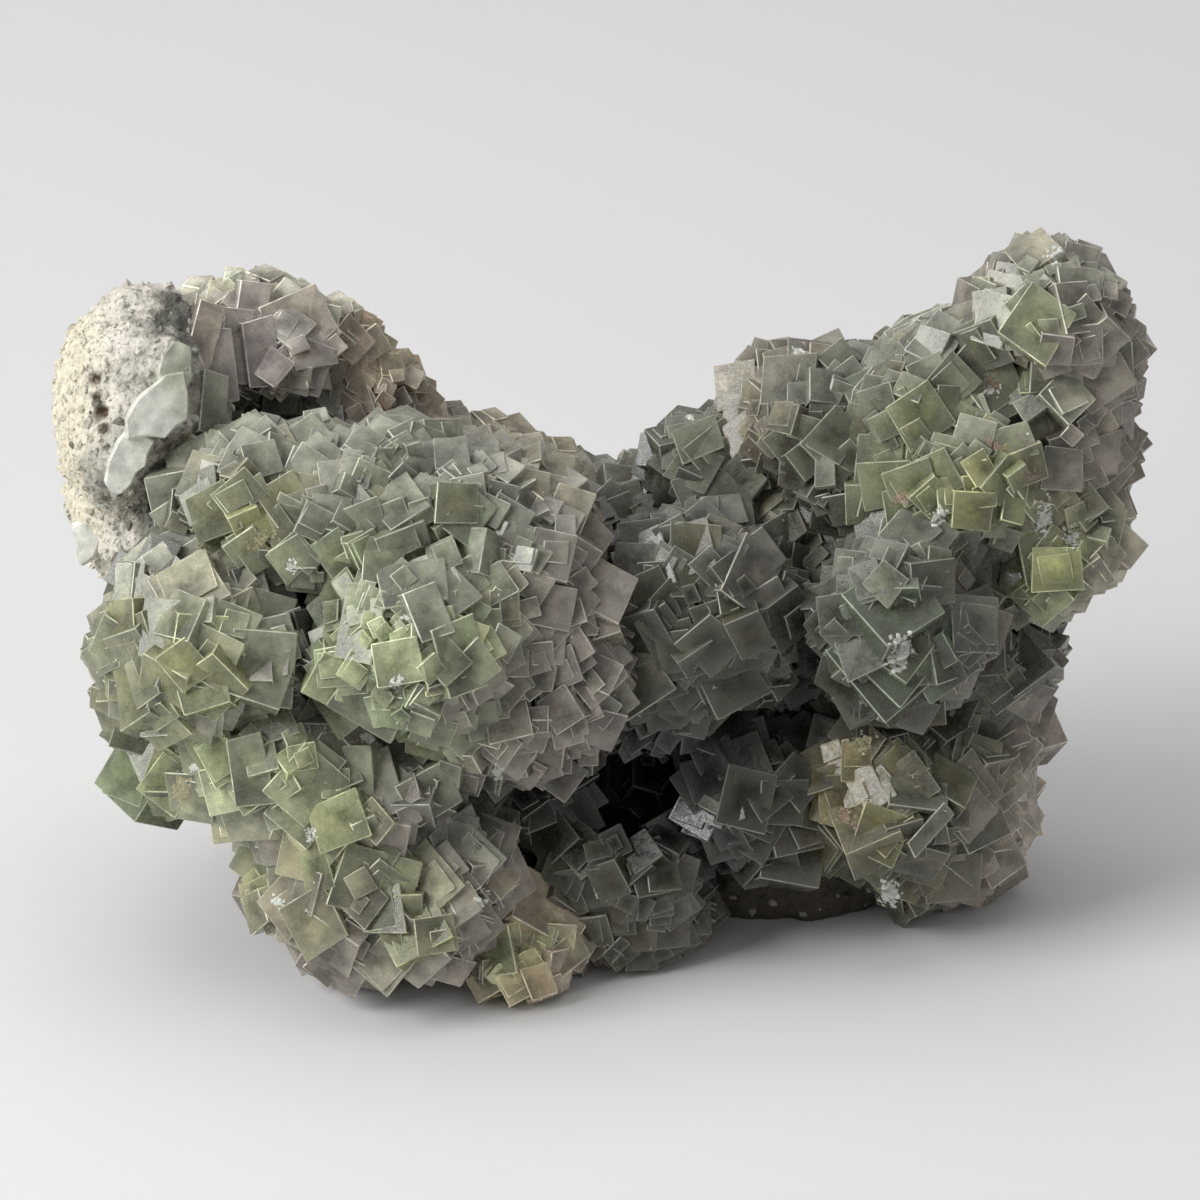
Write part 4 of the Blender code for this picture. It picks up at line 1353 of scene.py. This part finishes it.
class FLUORITE_OT_crystals(Operator):
    """The crust of cubes, joined in four pieces"""

    bl_idname = "fluorite.crystals"
    bl_label = "Crystals"

    def execute(self, context):
        sizes, colours = context.scene.fluorite_sizes, context.scene.fluorite_colours
        materials = [crystal_material(colours, crystal_group()), edge_material(colours)]
        layers = [
            self.layer(sizes, colours, "crust", sizes.narrowest / MM, sizes.widest / MM, 0.0, CRUST_CLOSENESS),
            self.layer(sizes, colours, "crevices", *CREVICES),
        ]
        crystals = joined([layer for layer, _ in layers])
        nearest = np.concatenate([lobes for _, lobes in layers])
        pieces = []
        for name in dict.fromkeys(family.piece for family in FAMILIES.values()):
            members = [i for i, lobe in enumerate(LOBES) if FAMILIES[lobe.family].piece == name]
            mesh = crystal_mesh(name, chosen(crystals, np.isin(nearest, members)), sizes.edge / MM, seeded(name))
            pieces.append(add_piece(name, mesh, materials))
        plates = crystal_mesh("large_crystals", plate_crystals(colours), 1.3 * sizes.edge / MM, seeded("plates"))
        pieces.append(add_piece("large_crystals", plates, materials))
        add_piece("dome_shards", shard_mesh(colours), [shard_material()])
        spots, normals, widths, tones = splinter_places(colours, pieces)
        splinters = grain_mesh("splinters", spots, widths, tones, seeded("splinters"), normals)
        add_piece("splinters", splinters, [splinter_material()])
        return {"FINISHED"}

    def layer(self, sizes, colours, name, narrow, wide, height, closeness):
        """One layer of crystals of widths from narrow to wide, at a height above the skin."""
        draw = seeded(name)
        spots, normals = skin_spots(0.33 * (narrow + wide) * closeness, height, draw)
        widths = narrow + (wide - narrow) * draw.beta(1.1, 2.3, len(spots))
        shares = np.array([FAMILIES[lobe.family].width for lobe in LOBES])
        widths = widths * (1 + 0.35 * patches(spots, 11.0, 5.0)) * shares[np.argmin(lobe_heights(spots), axis=1)]
        picked = spread_out(spots, widths, closeness)
        spots, normals, widths = spots[picked], normals[picked], widths[picked]
        rises = draw.uniform(-1, 1, len(picked)) * sizes.rise / MM * (wide / 8)
        return stepped(*grown_crystals(spots, normals, widths, rises, sizes.lean, colours, draw), draw)


def behind(drawn):
    """1 on the broken back of the rock, 0 on its front, for each place."""
    return smooth_step(drawn[:, 1], 8.0, 18.0)


def rock_ridges(drawn):
    """Sharp ridges and hollows of a broken rock face."""
    coarse = 1 - 4 * np.abs(patches(drawn, 13.0, 12.0))
    fine = 1 - 4 * np.abs(patches(drawn, 5.5, 15.0))
    return 2.2 * coarse + 0.9 * fine


def rock_colours(drawn, colours):
    """Colour of the rock: cream on the bare dome with its stains, and dark umber where it carries the crystals, painted
    shade on the front base under them.
    """
    flat = picture_places(drawn)
    cream = np.array(colours.rock) * (1 + 0.06 * patches(drawn, 7.0, 1.0))[:, None]
    warm = smooth_step(-flat[:, 0], 64.0, 72.0)[:, None]
    mixed = cream * (1 - warm * np.array([0.0, 0.03, 0.13]))
    wobble = patches(drawn, 1.6, 4.0)
    for place, radius, tone, strength in STAINS:
        far = np.linalg.norm(flat - place, axis=1) / radius + 0.7 * wobble
        share = strength * (1 - smooth_step(far, 0.5, 1.3)) * (drawn[:, 1] < 12.0)
        mixed = blended(mixed, getattr(colours, tone), share)
    dirt = behind(drawn) * np.clip(0.35 + 0.9 * patches(drawn, 8.0, 21.0) - 0.12 * rock_ridges(drawn), 0, 0.85)
    mixed = blended(mixed, np.array(colours.pit) * 1.6, dirt)
    bare = smooth_step(-drawn[:, 0] + 0.5 * (drawn[:, 2] - 55), 38.0, 50.0)
    bare = np.maximum(bare, 0.75 * smooth_step(drawn[:, 1], 14.0, 26.0))
    # painted shade: away from the bare dome and the back the rock is dark umber, the shade of the front base under the
    # crystals
    return blended(np.array(colours.umber_and_shade) * 0.6, mixed, bare)


class FLUORITE_OT_host_rock(Operator):
    """The granular rock that the fluorite grew on, and the loose-set grains of its bare face"""

    bl_idname = "fluorite.host_rock"
    bl_label = "Host Rock"

    def execute(self, context):
        sizes, colours = context.scene.fluorite_rock, context.scene.fluorite_colours
        mesh = melted("rock_surface", ROCK_LUMPS, 0.0, sizes.voxel)
        points, normals = vertex_rows(mesh)
        drawn = drawn_from(points)
        height = 1.5 * patches(drawn, 9.0, 0.0) + 0.7 * patches(drawn, 3.4, 9.0) + 0.4 * patches(drawn, 1.5, 5.0)
        broken = behind(drawn) * rock_ridges(drawn)
        drawn = drawn + normals * (height + broken)[:, None] * sizes.relief / MM
        flat = picture_places(drawn)
        for place, radius, tone, _ in STAINS:
            if tone == "pit":
                depth = 0.9 * (1 - smooth_step(np.linalg.norm(flat - place, axis=1) / radius, 0.3, 1.1))
                drawn -= normals * depth[:, None] * (drawn[:, 1:2] < 9.0)
        drawn[:, 2] = np.maximum(drawn[:, 2], 0.0)
        set_points(mesh, drawn)
        paint(mesh, "grain_colour", rock_colours(drawn, colours))
        materials = [rock_material(colours)]
        piece = add_piece("rock_surface", mesh, materials)
        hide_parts("host_rock")
        grains = self.grains(drawn, normals, colours)
        add_piece("rock_grains", grains, materials)
        return {"FINISHED"}

    def grains(self, drawn, normals, colours):
        """Loose-set grains on the rock where no crystals cover it."""
        draw = seeded("grains")
        bare = (skin_height(drawn) > 0.3) & (drawn[:, 2] > 1.0)
        spots = drawn[bare]
        widths = 0.4 + 1.4 * draw.uniform(0.0, 1.0, len(spots)) ** 3
        picked = spread_out(spots, widths, 1.15)
        spots, widths = spots[picked] - 0.22 * normals[bare][picked], widths[picked]
        tones = rock_colours(spots, colours)
        kind = draw.uniform(size=(len(spots), 1))
        tones = np.where(kind < 0.16, 0.5 * (tones + np.array(colours.edge)), tones)
        tones = np.where(kind > 0.9, tones * 0.5 + 0.5 * np.array(colours.grey), tones)
        tones = np.where(kind > 0.975, tones * 0.35, tones) * draw.uniform(0.85, 1.1, (len(spots), 1))
        return grain_mesh("rock_grains", spots, widths, tones, draw)


class FLUORITE_OT_studio(Operator):
    """Floor, lights and camera"""

    bl_idname = "fluorite.studio"
    bl_label = "Studio"

    def execute(self, context):
        scene, colours = context.scene, context.scene.fluorite_colours
        shape = bmesh.new()
        bmesh.ops.create_grid(shape, x_segments=1, y_segments=1, size=FLOOR_SIZE)
        mesh = as_mesh(shape, "studio_floor")
        floor = bpy.data.objects.new("studio_floor", mesh)
        scene.collection.objects.link(floor)
        mesh.materials.append(floor_material(colours))
        for name, (at, size, watts) in LIGHTS.items():
            add_light(name, at, size, watts)
        world = bpy.data.worlds.new("studio_air")
        world.use_nodes = True
        air = world.node_tree.nodes["Background"]
        air.inputs["Color"].default_value = AIR_COLOUR
        air.inputs["Strength"].default_value = AIR_STRENGTH
        scene.world = world
        scene.view_settings.view_transform = "Standard"
        add_camera()
        return {"FINISHED"}


def add_light(name, at, size, watts):
    """A soft square light aimed at the specimen."""
    data = bpy.data.lights.new(name, "AREA")
    data.shape = "SQUARE"
    data.size = size
    data.energy = watts
    light = bpy.data.objects.new(name, data)
    light.location = at
    light.rotation_euler = (Vector(LIT_PLACE) - Vector(at)).to_track_quat("-Z", "Y").to_euler()
    bpy.context.scene.collection.objects.link(light)


def add_camera():
    """The photo's view: level left to right, PITCH down, from a metre off with a long lens."""
    data = bpy.data.cameras.new("camera")
    camera = bpy.data.objects.new("camera", data)
    bpy.context.scene.collection.objects.link(camera)
    way = Vector(TOWARDS)
    camera.location = Vector(CAMERA_TARGET) + way
    camera.rotation_euler = (-way).to_track_quat("-Z", "Y").to_euler()
    data.lens = CAMERA_LENS
    data.clip_start = 0.01
    bpy.context.scene.camera = camera


class FLUORITE_PT_specimen(Panel):
    """Sizes, colours and the steps that build the specimen"""

    bl_label = "Fluorite Specimen"
    bl_idname = "FLUORITE_PT_specimen"
    bl_space_type = "VIEW_3D"
    bl_region_type = "UI"
    bl_category = "Fluorite"

    def draw(self, context):
        scene = context.scene
        for group in (scene.fluorite_sizes, scene.fluorite_rock, scene.fluorite_colours):
            for name in group.__annotations__:
                self.layout.prop(group, name)
        for operator in OPERATORS:
            self.layout.operator(operator.bl_idname)


OPERATORS = (FLUORITE_OT_crystal_mass, FLUORITE_OT_crystals, FLUORITE_OT_host_rock, FLUORITE_OT_studio)
CLASSES = (CrystalSizes, RockSizes, SpecimenColours, *OPERATORS, FLUORITE_PT_specimen)


def register():
    for cls in CLASSES:
        bpy.utils.register_class(cls)
    bpy.types.Scene.fluorite_sizes = PointerProperty(type=CrystalSizes)
    bpy.types.Scene.fluorite_rock = PointerProperty(type=RockSizes)
    bpy.types.Scene.fluorite_colours = PointerProperty(type=SpecimenColours)


def unregister():
    del bpy.types.Scene.fluorite_colours
    del bpy.types.Scene.fluorite_rock
    del bpy.types.Scene.fluorite_sizes
    for cls in reversed(CLASSES):
        bpy.utils.unregister_class(cls)


def main():
    register()
    bpy.ops.object.select_all(action="DESELECT")
    bpy.ops.fluorite.crystal_mass()
    bpy.ops.fluorite.crystals()
    bpy.ops.fluorite.host_rock()
    bpy.ops.fluorite.studio()


if __name__ == "__main__":
    main()
